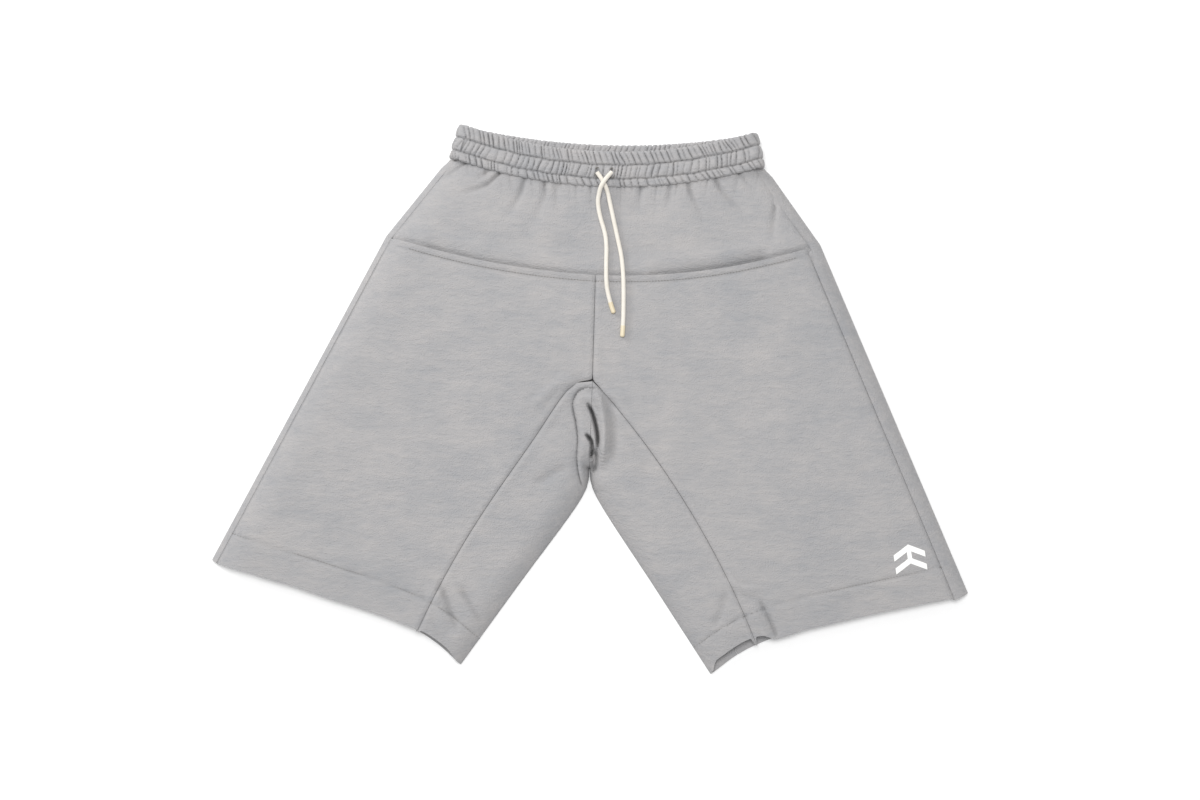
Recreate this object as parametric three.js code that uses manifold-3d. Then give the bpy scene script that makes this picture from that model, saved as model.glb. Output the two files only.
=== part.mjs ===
// Padded impact shorts, laid flat on their back with the front facing up.
//
// The part is a set of sewn panels, a gathered waistband with its elastic and drawcord, two slant
// pockets, and five foam pads that slide into mesh sleeves sewn inside the back.
// Millimetres, +X to the right of someone facing the front, +Y towards the waist, +Z up.
// The origin is on the underside, at the middle of the footprint.

import * as THREE from 'three';
import { mergeVertices } from 'three/addons/utils/BufferGeometryUtils.js';
import Module from 'manifold-3d';

const wasm = await Module();
wasm.setup();

// ---------------------------------------------------------------- driving dimensions

// Cloth
const FLEECE = 1.8;              // brushed-back fleece
const POCKETING = 0.8;           // pocket bag jersey
const MESH = 0.8;                // pad sleeve mesh
const SEAM_GAP = 0.4;            // between the cut edges of two panels
const FACE_GAP = 0.3;            // between two pieces that touch

// Waistband
const WAIST_WIDTH = 365;         // lower edge, laid flat, tip to tip
const BAND_HEIGHT = 41;
const BAND_THICKNESS = 10;       // casing with elastic and cord inside
const BAND_FRONT_SAG = 26;       // how far the front's lower edge dips between its tips
const BAND_BACK_SAG = 17;
const BAND_TILT = THREE.MathUtils.degToRad(-1.6);
const CASING = 1.2;              // one layer of gathered casing cloth
const ELASTIC = 1.2;
const WAIST_CAVITY = 5;          // room between the front and the back band

// Panels, as the shorts lie
const CENTRE_X = 7;              // centre-front seam
const WAIST_X = 19.5;            // middle of the waistband
const WAIST_Y = 242;             // middle of the band's front lower edge
const HIP_FLARE_LEFT = 72;       // from the waist corner out to the yoke corner
const HIP_FLARE_RIGHT = 63;
const YOKE_SIDE = 89;            // waist corner down to yoke corner
const YOKE_DEPTH = 100;          // waistband down to the yoke seam at centre front
const YOKE_SAG_LEFT = 8;         // the pocket mouths dip below a straight seam
const YOKE_SAG_RIGHT = 12;
const YOKE_ALLOWANCE = 12;       // yoke cloth that carries on under the leg panels
const OUTSEAM = 434;             // yoke corner down to hem
const LEFT_DRAWN_UP = 12;        // the left leg lies a little drawn up
const HEM_OPENING = 310;
const LEFT_LEG_ANGLE = THREE.MathUtils.degToRad(28.3);
const RIGHT_LEG_ANGLE = THREE.MathUtils.degToRad(23);
const LEFT_HEM_ANGLE = THREE.MathUtils.degToRad(22.8);
const RIGHT_HEM_ANGLE = THREE.MathUtils.degToRad(17.5);
const HEM_LIFT = 18;             // the hem rises above a straight line between its corners
const HEM_LIFT_PLACE = 0.72;     // share of the hem, from the side, where it rises most
const CROTCH_X = 0;
const CROTCH_DEPTH = 321;        // waistband down to the crotch fold
const CROTCH_TURN = 35;          // the inner leg leaves the crotch in a short curve
const GUSSET_TOP = 102;          // gusset apex above the crotch fold
const GUSSET_BACK_TOP = 60;      // the same behind the fold
const GUSSET_TIP_SHARE = 0.02;   // the gusset's tip stops this share short of the apex
const GUSSET_HEM = 62;           // gusset width at the front hem
const GUSSET_BACK = 38;          // gusset width behind the fold
const GUSSET_BOW = 16;           // how far the gusset seam bows towards the leg
const WRAP_LEFT = 7;             // back panel that shows on the front beside the side seam
const WRAP_RIGHT = 18;

// Heights, floor up
const SIDE_ROUND = 40;           // width over which a side fold rises to full height
const INNER_ROUND = 30;
const PAD_THICKNESS = 8;
const BODY_CAVITY = 4.1;         // slack between the pad sleeves and the yoke
const POCKET_GAPE = 6.3;         // how far a pocket mouth stands open
const LEG_SLOPE = 9 / 460;       // the leg panels sink towards the hem

// Drawcord
const CORD_DIAMETER = 5;
const TIP_LENGTH = 13;
const TIP_DIAMETER = 5.4;
const CHANNEL_CORD = 3.8;        // the cord is squeezed between the elastic and the casing
const CHANNEL_PITCH = 30;        // the hidden run follows the band at points this far apart
const EYELET_X = 17;             // middle of the two buttonholes
const EYELET_SPACING = 17;
const EYELET_HEIGHT = 16.5;      // buttonhole centre above the band's lower edge
const EYELET_LENGTH = 9.4;
const EYELET_WIDTH = 5.6;
const EYELET_RIM = 2;            // width of the sewn edge

// Pads
const SEAT_PAD = { width: 80, length: 140 };
const HIP_PAD = { width: 66, length: 160 };
const TAIL_PAD = { width: 84, length: 120 };
const PAD_CORNER = 22;
const PAD_CLEARANCE = 1.2;
const SEAT_PAD_Y = 20;
const HIP_PAD_Y = 10;
const TAIL_PAD_Y = 130;
const PAD_GAP = 11;              // between neighbouring pads
const TAIL_X = 7;

// Pockets
const POCKET_LEFT = { inner: 24, width: 176 };       // inner end from centre front, and mouth
const POCKET_RIGHT = { inner: 56, width: 140 };
const POCKET_DEPTH = 125;
const BARTACK = { length: 3, width: 8 };

// Print on the leg: two stacked chevrons on a stem
const MARK = { width: 36, rise: 10, bar: 7, pitch: 15, stem: 5, thickness: 0.3 };
const MARK_FROM_CORNER = [-69, 40];

const BACK_TOP = FLEECE;
const PAD_BOTTOM = BACK_TOP + FACE_GAP;
const SLEEVE_TOP = PAD_BOTTOM + PAD_THICKNESS + FACE_GAP + MESH;
const YOKE_BOTTOM = SLEEVE_TOP + BODY_CAVITY;
const YOKE_TOP = YOKE_BOTTOM + FLEECE;
const LEG_TOP = YOKE_TOP + POCKET_GAPE + FLEECE;
const BAND_FRONT_Z = BAND_THICKNESS + WAIST_CAVITY + BAND_THICKNESS / 2;
const BAND_BACK_Z = BAND_THICKNESS / 2;
const BAND_TOP = BAND_FRONT_Z + BAND_THICKNESS / 2;

// ---------------------------------------------------------------- small geometry helpers

const v2 = (x, y) => new THREE.Vector2(x, y);
const v3 = (x, y, z) => new THREE.Vector3(x, y, z);
const SAMPLES = 24;

function spline(points, count = SAMPLES) {
  return new THREE.SplineCurve(points).getSpacedPoints(count);
}

// The same run of straight lines, cut into equal lengths.
function evenly(points, count = SAMPLES) {
  const path = new THREE.CurvePath();
  for (let i = 0; i < points.length - 1; i += 1) {
    path.add(new THREE.LineCurve(points[i], points[i + 1]));
  }
  return path.getSpacedPoints(count);
}

function straight(a, b, count = SAMPLES) {
  return new THREE.LineCurve(a, b).getSpacedPoints(count);
}

// A line from a to b that bows sideways by `bow` at its middle, to the left of its direction.
function bowed(a, b, bow, count = SAMPLES) {
  const side = v2(-(b.y - a.y), b.x - a.x).normalize();
  const middle = a.clone().lerp(b, 0.5).addScaledVector(side, 2 * bow);
  return new THREE.QuadraticBezierCurve(a, middle, b).getSpacedPoints(count);
}

function tangentAt(points, i) {
  const before = points[Math.max(i - 1, 0)];
  const after = points[Math.min(i + 1, points.length - 1)];
  return after.clone().sub(before).normalize();
}

// Moves a run of points sideways, to the left of their direction where distance is positive.
function offset(points, distance) {
  return points.map((p, i) => {
    const t = tangentAt(points, i);
    return v2(p.x - t.y * distance, p.y + t.x * distance);
  });
}

function along(points, t) {
  const place = t * (points.length - 1);
  const i = Math.min(Math.floor(place), points.length - 2);
  return points[i].clone().lerp(points[i + 1], place - i);
}

// A patch between four edges: top and bottom run with u, left and right run with v from the top.
function patch(top, bottom, left, right) {
  return (u, v) => {
    const p = along(top, u).multiplyScalar(1 - v).addScaledVector(along(bottom, u), v);
    p.addScaledVector(along(left, v), 1 - u).addScaledVector(along(right, v), u);
    p.addScaledVector(top[0], -(1 - u) * (1 - v)).addScaledVector(top.at(-1), -u * (1 - v));
    p.addScaledVector(bottom[0], -(1 - u) * v).addScaledVector(bottom.at(-1), -u * v);
    return p;
  };
}

function signedVolume(positions, indices) {
  let volume = 0;
  for (let i = 0; i < indices.length; i += 3) {
    const [a, b, c] = [indices[i], indices[i + 1], indices[i + 2]].map((k) => positions[k]);
    volume += a.dot(b.clone().cross(c)) / 6;
  }
  return volume;
}

// Faces are turned outwards whatever way the points ran.
function closedGeometry(positions, indices) {
  const inward = signedVolume(positions, indices) < 0;
  const index = inward ? indices.slice().reverse() : indices;
  const geometry = new THREE.BufferGeometry();
  const coordinates = positions.flatMap((p) => [p.x, p.y, p.z]);
  geometry.setAttribute('position', new THREE.Float32BufferAttribute(coordinates, 3));
  geometry.setIndex(index);
  return geometry;
}

// A sheet of cloth with thickness, from a grid of points on its outer and on its inner face.
function sheetGeometry(outer, inner) {
  const rows = outer.length;
  const columns = outer[0].length;
  const positions = [...outer.flat(), ...inner.flat()];
  const o = (i, j) => i * columns + j;
  const n = (i, j) => rows * columns + i * columns + j;
  const indices = [];
  const quad = (a, b, c, d) => indices.push(a, b, c, a, c, d);
  for (let i = 0; i < rows - 1; i += 1) {
    for (let j = 0; j < columns - 1; j += 1) {
      quad(o(i, j), o(i + 1, j), o(i + 1, j + 1), o(i, j + 1));
      quad(n(i, j), n(i, j + 1), n(i + 1, j + 1), n(i + 1, j));
    }
    quad(o(i, 0), n(i, 0), n(i + 1, 0), o(i + 1, 0));
    quad(o(i, columns - 1), o(i + 1, columns - 1), n(i + 1, columns - 1), n(i, columns - 1));
  }
  for (let j = 0; j < columns - 1; j += 1) {
    quad(o(0, j), o(0, j + 1), n(0, j + 1), n(0, j));
    quad(o(rows - 1, j), n(rows - 1, j), n(rows - 1, j + 1), o(rows - 1, j + 1));
  }
  return closedGeometry(positions, indices);
}

// A ring: the same closed section at each station, and the last station joined to the first.
function ringGeometry(stations, section) {
  const count = section.length;
  const positions = stations.flatMap((s) => section.map(([across, up]) =>
    s.origin.clone().addScaledVector(s.out, across).addScaledVector(s.up, up)));
  const indices = [];
  stations.forEach((_, i) => {
    const next = (i + 1) % stations.length;
    for (let k = 0; k < count; k += 1) {
      const k2 = (k + 1) % count;
      const [a, b, c, d] = [i * count + k, i * count + k2, next * count + k2, next * count + k];
      indices.push(a, b, c, a, c, d);
    }
  });
  return closedGeometry(positions, indices);
}

function toManifold(geometry) {
  const bare = geometry.clone();
  bare.deleteAttribute('normal');
  bare.deleteAttribute('uv');
  const merged = mergeVertices(bare, 1e-4);
  return new wasm.Manifold(new wasm.Mesh({
    numProp: 3,
    vertProperties: new Float32Array(merged.attributes.position.array),
    triVerts: new Uint32Array(merged.index.array),
  }));
}

function fromManifold(solid) {
  const mesh = solid.getMesh();
  const geometry = new THREE.BufferGeometry();
  geometry.setAttribute('position', new THREE.BufferAttribute(new Float32Array(mesh.vertProperties), 3));
  geometry.setIndex(new THREE.BufferAttribute(new Uint32Array(mesh.triVerts), 1));
  return geometry;
}

function joined(a, b) {
  return fromManifold(toManifold(a).add(toManifold(b)));
}

function cut(body, ...tools) {
  return fromManifold(tools.reduce((solid, tool) => solid.subtract(toManifold(tool)), toManifold(body)));
}

// A flat plate of cloth with this outline, its underside at z.
function plateGeometry(outline, z, thickness) {
  const shape = new THREE.Shape(outline);
  const plate = new THREE.ExtrudeGeometry(shape, { depth: thickness, bevelEnabled: false });
  return plate.translate(0, 0, z);
}

function boxBetween(low, high) {
  const size = high.clone().sub(low);
  const middle = high.clone().add(low).multiplyScalar(0.5);
  return new THREE.BoxGeometry(size.x, size.y, size.z).translate(middle.x, middle.y, middle.z);
}

// ---------------------------------------------------------------- waistband lines

// Where the band's lower edge lies across the front or the back: an arc that dips by `sag`.
function bandArc(sag) {
  const half = WAIST_WIDTH / 2 - BAND_THICKNESS - WAIST_CAVITY / 2;
  const radius = (half * half + sag * sag) / (2 * sag);
  const reach = Math.asin(half / radius);
  const centre = v2(WAIST_X, WAIST_Y + BAND_FRONT_SAG - sag + radius);
  return { radius, reach, centre };
}

// A point on the band's lower edge at share t of the arc, and the way up the band there.
function bandPoint(sag, t) {
  const { radius, reach, centre } = bandArc(sag);
  const angle = THREE.MathUtils.lerp(-reach, reach, t);
  const point = v2(centre.x + radius * Math.sin(angle), centre.y - radius * Math.cos(angle));
  const up = v2(-Math.sin(angle), Math.cos(angle));
  return {
    point: point.rotateAround(v2(WAIST_X, WAIST_Y), BAND_TILT),
    up: up.rotateAround(v2(0, 0), BAND_TILT),
  };
}

// The share of an arc that lies at this x.
function bandShare(sag, x) {
  const { radius, reach } = bandArc(sag);
  return 0.5 + Math.asin((x - WAIST_X) / radius) / (2 * reach);
}

// The outer corner of the band's lower edge, past the turn from front to back.
function waistCorner(t) {
  const { point, up } = bandPoint(BAND_FRONT_SAG, t);
  const outward = v2(up.y, -up.x).multiplyScalar(t === 0 ? -1 : 1);
  return point.addScaledVector(outward, BAND_THICKNESS + WAIST_CAVITY / 2);
}

const WAIST_LEFT = waistCorner(0);
const WAIST_RIGHT = waistCorner(1);

// A run along the band's lower edge, from share a to share b, `below` millimetres under it.
function bandEdge(sag, a, b, below) {
  const run = [];
  for (let k = 0; k <= SAMPLES; k += 1) {
    const { point, up } = bandPoint(sag, THREE.MathUtils.lerp(a, b, k / SAMPLES));
    run.push(point.addScaledVector(up, -below));
  }
  return run;
}

// ---------------------------------------------------------------- panel lines

function directed(from, angle, length) {
  return v2(from.x + Math.sin(angle) * length, from.y - Math.cos(angle) * length);
}

const YOKE_LEFT = v2(WAIST_LEFT.x - HIP_FLARE_LEFT, WAIST_LEFT.y - YOKE_SIDE);
const YOKE_RIGHT = v2(WAIST_RIGHT.x + HIP_FLARE_RIGHT, WAIST_RIGHT.y - YOKE_SIDE);
const YOKE_CENTRE = v2(CENTRE_X, WAIST_Y - YOKE_DEPTH);
const HEM_OUT_LEFT = directed(YOKE_LEFT, -LEFT_LEG_ANGLE, OUTSEAM - LEFT_DRAWN_UP);
const HEM_OUT_RIGHT = directed(YOKE_RIGHT, RIGHT_LEG_ANGLE, OUTSEAM);
const HEM_IN_LEFT = directed(HEM_OUT_LEFT, Math.PI / 2 - LEFT_HEM_ANGLE, HEM_OPENING);
const HEM_IN_RIGHT = directed(HEM_OUT_RIGHT, RIGHT_HEM_ANGLE - Math.PI / 2, HEM_OPENING);
const CROTCH = v2(CROTCH_X, WAIST_Y - CROTCH_DEPTH);
const APEX = v2((CENTRE_X + CROTCH_X) / 2, CROTCH.y + GUSSET_TOP);
const BACK_APEX = v2((CENTRE_X + CROTCH_X) / 2, CROTCH.y + GUSSET_BACK_TOP);

const HIP_STEPS = 8;             // parts of a side fold above and below the yoke corner
const LEG_STEPS = 16;
const YOKE_SHARE = HIP_STEPS / (HIP_STEPS + LEG_STEPS);

function sideFold(waist, yoke, hem) {
  return [...straight(waist, yoke, HIP_STEPS), ...straight(yoke, hem, LEG_STEPS).slice(1)];
}

function innerFold(hem) {
  const turn = v2(THREE.MathUtils.lerp(CROTCH.x, hem.x, 0.066), CROTCH.y - CROTCH_TURN);
  return spline([CROTCH, turn, turn.clone().lerp(hem, 0.5), hem]);
}

// From the side to the inner leg. `side` is -1 for the leg on the left and 1 on the right.
function hemLine(side, hemOut, hemIn) {
  const lift = v2(hemIn.y - hemOut.y, hemOut.x - hemIn.x).normalize().multiplyScalar(side * HEM_LIFT);
  return spline([hemOut, hemOut.clone().lerp(hemIn, HEM_LIFT_PLACE).add(lift), hemIn], 40);
}

function legLines(side) {
  const left = side < 0;
  const waist = left ? WAIST_LEFT : WAIST_RIGHT;
  const yoke = left ? YOKE_LEFT : YOKE_RIGHT;
  const hemOut = left ? HEM_OUT_LEFT : HEM_OUT_RIGHT;
  const hemIn = left ? HEM_IN_LEFT : HEM_IN_RIGHT;
  const hem = hemLine(side, hemOut, hemIn);
  const sag = left ? YOKE_SAG_LEFT : -YOKE_SAG_RIGHT;
  return {
    side,
    hem,
    wrap: left ? WRAP_LEFT : WRAP_RIGHT,
    sideFold: sideFold(waist, yoke, hemOut),
    innerFold: innerFold(hemIn),
    yokeSeam: bowed(YOKE_CENTRE, yoke, sag),
    gussetSeam: bowed(APEX, along(hem, 1 - GUSSET_HEM / HEM_OPENING), side * GUSSET_BOW),
    backSeam: straight(BACK_APEX, along(hem, 1 - GUSSET_BACK / HEM_OPENING)),
  };
}

const LEFT = legLines(-1);
const RIGHT = legLines(1);

const FOLDS = [LEFT, RIGHT].flatMap((leg) => [
  { points: leg.sideFold, side: -leg.side, round: SIDE_ROUND },
  { points: leg.innerFold, side: leg.side, round: INNER_ROUND },
]);

// The nearest fold to a point: how far off it is, which way is inwards, and how wide it rounds.
function nearestFold(p) {
  let best = null;
  for (const fold of FOLDS) {
    for (let i = 0; i < fold.points.length - 1; i += 1) {
      const from = fold.points[i];
      const step = fold.points[i + 1].clone().sub(from);
      const share = THREE.MathUtils.clamp(p.clone().sub(from).dot(step) / step.lengthSq(), 0, 1);
      const foot = from.clone().addScaledVector(step, share);
      const distance = p.distanceTo(foot);
      if (best === null || distance / fold.round < best.distance / best.round) {
        const across = v2(-step.y, step.x).normalize().multiplyScalar(fold.side);
        const inward = distance > 0.5 ? p.clone().sub(foot).divideScalar(distance) : across;
        best = { distance, inward, round: fold.round };
      }
    }
  }
  return best;
}

// Outer and inner face of the front cloth above p, which rises from the nearest fold to `top`.
function shellAt(p, top, thickness) {
  const { distance, inward, round } = nearestFold(p);
  const turn = Math.acos(1 - Math.min(distance / round, 1));
  const outer = v3(p.x, p.y, top * Math.sin(turn));
  const normal = v2(Math.cos(turn) / round, Math.sin(turn) / top).normalize();
  const inner = outer.clone();
  inner.x += inward.x * normal.x * thickness;
  inner.y += inward.y * normal.x * thickness;
  inner.z -= normal.y * thickness;
  return { outer, inner };
}

const yokeTop = () => YOKE_TOP;
const legTop = (y) => LEG_TOP + (y - YOKE_CENTRE.y) * LEG_SLOPE;

// Rows of a front panel crowd towards the folds, where the cloth bends.
const TOWARDS_START = [0, 0.02, 0.05, 0.1, 0.17, 0.3, 0.5, 0.75, 1];
const INSIDE_THE_FOLDS = Array.from({ length: 16 }, (_, k) => 0.12 + k * 0.0507);
const TOWARDS_BOTH = [0, 0.02, 0.05, 0.08, ...INSIDE_THE_FOLDS, 0.92, 0.95, 0.98, 1];

function frontSheet(surface, across, steps, topOf) {
  const grid = across.map((u) => {
    const row = [];
    for (let k = 0; k <= steps; k += 1) {
      const p = surface(u, k / steps);
      row.push(shellAt(p, topOf(p.y), FLEECE));
    }
    return row;
  });
  return sheetGeometry(
    grid.map((row) => row.map((q) => q.outer)),
    grid.map((row) => row.map((q) => q.inner)),
  );
}

// ---------------------------------------------------------------- shell panels

function shareOf(points, from, to, count = SAMPLES) {
  const run = [];
  for (let k = 0; k <= count; k += 1) {
    run.push(along(points, THREE.MathUtils.lerp(from, to, k / count)));
  }
  return run;
}

// The side seam: beside the fold by the width of the back panel that shows on the front.
function sideSeam(leg, from, to) {
  return offset(shareOf(leg.sideFold, from, to), -leg.side * (leg.wrap + SEAM_GAP));
}

function frontLegGeometry(leg) {
  const outer = sideSeam(leg, YOKE_SHARE, 1);
  const centre = straight(v2(CENTRE_X, YOKE_CENTRE.y), APEX, 10);
  const inner = evenly(offset([...centre, ...leg.gussetSeam.slice(1)], (leg.side * SEAM_GAP) / 2));
  const yokeSeam = leg.yokeSeam.slice(1, -2).reverse();
  const hem = shareOf(leg.hem, (leg.wrap + 2) / HEM_OPENING, 1 - (GUSSET_HEM + 2) / HEM_OPENING);
  const top = evenly([outer[0], ...yokeSeam, inner[0]]);
  const bottom = evenly([outer.at(-1), ...hem, inner.at(-1)]);
  return frontSheet(patch(top, bottom, outer, inner), TOWARDS_START, 14, legTop);
}

function yokeGeometry() {
  const left = sideSeam(LEFT, 0, YOKE_SHARE - 0.01);
  const right = sideSeam(RIGHT, 0, YOKE_SHARE - 0.01);
  const band = bandEdge(BAND_FRONT_SAG, 0.03, 0.97, SEAM_GAP);
  const seam = [...LEFT.yokeSeam.slice(1, -1).reverse(), ...RIGHT.yokeSeam.slice(0, -1)];
  const lowered = seam.map((p, i) => {
    const share = (i + 1) / (seam.length + 1);
    return v2(p.x, p.y - YOKE_ALLOWANCE * Math.sin(Math.PI * share) ** 0.5);
  });
  const top = evenly([left[0], ...band, right[0]], 40);
  const bottom = evenly([left.at(-1), ...lowered, right.at(-1)], 40);
  return frontSheet(patch(top, bottom, left, right), TOWARDS_BOTH, 6, yokeTop);
}

// The height that the back panel reaches at the side fold: the yoke's, then the leg's.
function wrapTop(y, cornerY) {
  const share = THREE.MathUtils.smoothstep(cornerY - y, 0, 25);
  return THREE.MathUtils.lerp(YOKE_TOP, legTop(y), share);
}

// The side fold, from just clear of the waistband to the hem.
function foldBelowBand(leg) {
  return [along(leg.sideFold, 0.015), ...leg.sideFold.slice(1)];
}

// The strip of the back panel that turns round the side fold onto the front.
function wrapGeometry(leg) {
  const fold = foldBelowBand(leg);
  const cornerY = leg.sideFold[HIP_STEPS].y;
  const last = Math.acos(1 - leg.wrap / SIDE_ROUND);
  const outer = [];
  const inner = [];
  fold.forEach((foot, i) => {
    const t = tangentAt(fold, i);
    const inward = v2(-t.y, t.x).multiplyScalar(-leg.side);
    const top = wrapTop(foot.y, cornerY);
    const outerRow = [];
    const innerRow = [];
    for (let k = 0; k <= 6; k += 1) {
      const turn = (last * k) / 6;
      const across = SIDE_ROUND * (1 - Math.cos(turn));
      const normal = v2(Math.cos(turn) / SIDE_ROUND, Math.sin(turn) / top).normalize();
      const inAcross = across + normal.x * FLEECE;
      const z = top * Math.sin(turn);
      outerRow.push(v3(foot.x + inward.x * across, foot.y + inward.y * across, z));
      innerRow.push(v3(foot.x + inward.x * inAcross, foot.y + inward.y * inAcross, z - normal.y * FLEECE));
    }
    outer.push(outerRow);
    inner.push(innerRow);
  });
  return sheetGeometry(outer, inner);
}

function backLegGeometry(leg) {
  const centre = CENTRE_X + (leg.side * SEAM_GAP) / 2;
  const middle = bandShare(BAND_BACK_SAG, centre);
  const end = leg.side < 0 ? 0 : 1;
  const band = bandEdge(BAND_BACK_SAG, middle, THREE.MathUtils.lerp(end, middle, 0.01), SEAM_GAP);
  const hem = shareOf(leg.hem, 0, 1 - GUSSET_BACK / HEM_OPENING - 0.002);
  const seam = offset(leg.backSeam, (leg.side * SEAM_GAP) / 2).reverse();
  const outline = [...band, ...foldBelowBand(leg), ...hem.slice(1), ...seam];
  return joined(plateGeometry(outline, 0, FLEECE), wrapGeometry(leg));
}

function gussetGeometry(leg) {
  const shift = v2((leg.side * SEAM_GAP) / 2, 0);
  const seam = offset(leg.gussetSeam, (-leg.side * SEAM_GAP) / 2);
  seam[0] = APEX.clone().lerp(CROTCH, GUSSET_TIP_SHARE).add(shift);
  const centre = straight(seam[0], CROTCH.clone().add(shift));
  const fold = evenly([CROTCH.clone().add(shift), ...leg.innerFold.slice(1)]);
  const hem = shareOf(leg.hem, 1 - (GUSSET_HEM - SEAM_GAP) / HEM_OPENING, 1);
  const surface = patch(
    centre,
    evenly([seam.at(-1), ...hem.slice(1)]),
    seam,
    fold,
  );
  const front = frontSheet(surface, TOWARDS_START.map((u) => 1 - u).reverse(), 16, legTop);
  const backTop = BACK_APEX.clone().lerp(CROTCH, GUSSET_TIP_SHARE).add(shift);
  const backSeam = [backTop, ...offset(leg.backSeam, (-leg.side * SEAM_GAP) / 2).slice(1)].reverse();
  const backHem = shareOf(leg.hem, 1 - (GUSSET_BACK - SEAM_GAP) / HEM_OPENING, 1, 6).reverse();
  const outline = [...fold, ...backHem.slice(1), ...backSeam];
  return joined(plateGeometry(outline, 0, FLEECE), front);
}

// ---------------------------------------------------------------- waistband

function frontStation(t) {
  const { point, up } = bandPoint(BAND_FRONT_SAG, t);
  return { origin: v3(point.x, point.y, BAND_FRONT_Z), out: v3(0, 0, 1), up: v3(up.x, up.y, 0) };
}

function backStation(t) {
  const { point, up } = bandPoint(BAND_BACK_SAG, t);
  return { origin: v3(point.x, point.y, BAND_BACK_Z), out: v3(0, 0, -1), up: v3(up.x, up.y, 0) };
}

// Round the end of the band, from the front (angle 0) to the back (angle pi).
function turnStation(t, angle) {
  const front = bandPoint(BAND_FRONT_SAG, t);
  const back = bandPoint(BAND_BACK_SAG, t);
  const up = front.up.clone().lerp(back.up, angle / Math.PI).normalize();
  const side = t === 0 ? -1 : 1;
  const radius = (BAND_FRONT_Z - BAND_BACK_Z) / 2;
  const out = v3(up.y * side * Math.sin(angle), -up.x * side * Math.sin(angle), Math.cos(angle));
  const middle = v3(front.point.x, front.point.y, (BAND_FRONT_Z + BAND_BACK_Z) / 2);
  return { origin: middle.addScaledVector(out, radius), out, up: v3(up.x, up.y, 0) };
}

const BAND_STEPS = 22;
const TURN_STEPS = 6;

// From share a of the front round the right end, along the back, and round to share b.
function bandStations(a, b, steps = BAND_STEPS) {
  const stations = [];
  for (let k = 0; k < steps; k += 1) stations.push(frontStation(THREE.MathUtils.lerp(a, 1, k / steps)));
  for (let k = 0; k < TURN_STEPS; k += 1) stations.push(turnStation(1, (Math.PI * k) / TURN_STEPS));
  for (let k = 0; k < steps; k += 1) stations.push(backStation(1 - k / steps));
  for (let k = TURN_STEPS; k > 0; k -= 1) stations.push(turnStation(0, (Math.PI * k) / TURN_STEPS));
  for (let k = 0; k <= steps; k += 1) stations.push(frontStation(THREE.MathUtils.lerp(0, b, k / steps)));
  return stations;
}

function rectangle(low, high, bottom, top) {
  return [[low, bottom], [high, bottom], [high, top], [low, top]];
}

const WHOLE_BAND = bandStations(0.5, 0.5, BAND_STEPS / 2).slice(0, -1);
const HALF_BAND = BAND_THICKNESS / 2;
const CHANNEL = HALF_BAND - CASING;
const EYELETS = [-1, 1].map((side) => {
  const x = EYELET_X + (side * EYELET_SPACING) / 2;
  const share = bandShare(BAND_FRONT_SAG, x);
  const { point, up } = bandPoint(BAND_FRONT_SAG, share);
  return { share, centre: point.addScaledVector(up, EYELET_HEIGHT) };
});

// An upright oval prism, for the buttonholes and their cutters.
function ovalGeometry(width, length, bottom, top) {
  const radius = width / 2;
  const reach = length / 2 - radius;
  const shape = new THREE.Shape();
  shape.absarc(0, reach, radius, 0, Math.PI);
  shape.absarc(0, -reach, radius, Math.PI, 2 * Math.PI);
  shape.closePath();
  const sides = { depth: top - bottom, bevelEnabled: false, curveSegments: 6 };
  return new THREE.ExtrudeGeometry(shape, sides).translate(0, 0, bottom);
}

function casingGeometry() {
  const skin = ringGeometry(WHOLE_BAND, rectangle(-HALF_BAND, HALF_BAND, 0, BAND_HEIGHT));
  const channel = ringGeometry(WHOLE_BAND, rectangle(-CHANNEL, CHANNEL, CASING, BAND_HEIGHT - CASING));
  const holes = EYELETS.map(({ centre }) => {
    const rim = 2 * (EYELET_RIM + FACE_GAP);
    const bottom = BAND_FRONT_Z + CHANNEL - 1;
    const hole = ovalGeometry(EYELET_WIDTH + rim, EYELET_LENGTH + rim, bottom, BAND_TOP + 1);
    return hole.translate(centre.x, centre.y, 0);
  });
  return cut(skin, channel, ...holes);
}

function elasticGeometry() {
  const low = FACE_GAP - CHANNEL;
  const margin = CASING + FACE_GAP;
  return ringGeometry(WHOLE_BAND, rectangle(low, low + ELASTIC, margin, BAND_HEIGHT - margin));
}

function eyeletGeometry({ centre }) {
  const bottom = BAND_TOP - CASING;
  const outer = [EYELET_WIDTH, EYELET_LENGTH].map((side) => side + 2 * EYELET_RIM);
  const rim = ovalGeometry(...outer, bottom, BAND_TOP);
  const hole = ovalGeometry(EYELET_WIDTH, EYELET_LENGTH, bottom - 1, BAND_TOP + 1);
  return cut(rim, hole).translate(centre.x, centre.y, 0);
}

// ---------------------------------------------------------------- drawcord

const CORD_SIDES = 8;

function roundSection(diameter) {
  const points = [];
  for (let k = 0; k < CORD_SIDES; k += 1) {
    const angle = (2 * Math.PI * k) / CORD_SIDES;
    points.push(v2((diameter / 2) * Math.cos(angle), (diameter / 2) * Math.sin(angle)));
  }
  return new THREE.Shape(points);
}

function tubeGeometry(curve, diameter, steps) {
  return new THREE.ExtrudeGeometry(roundSection(diameter), { steps, extrudePath: curve });
}

// The hidden run: in at one buttonhole, round the back, and out at the other.
function channelCordGeometry() {
  const low = FACE_GAP - CHANNEL + ELASTIC;
  const across = (low + CHANNEL) / 2;
  const [left, right] = EYELETS;
  const steps = Math.round(WAIST_WIDTH / CHANNEL_PITCH);
  const points = bandStations(right.share, left.share, steps).map((s) =>
    s.origin.clone().addScaledVector(s.out, across).addScaledVector(s.up, EYELET_HEIGHT));
  return tubeGeometry(new THREE.CatmullRomCurve3(points), CHANNEL_CORD, 6 * steps);
}

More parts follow.
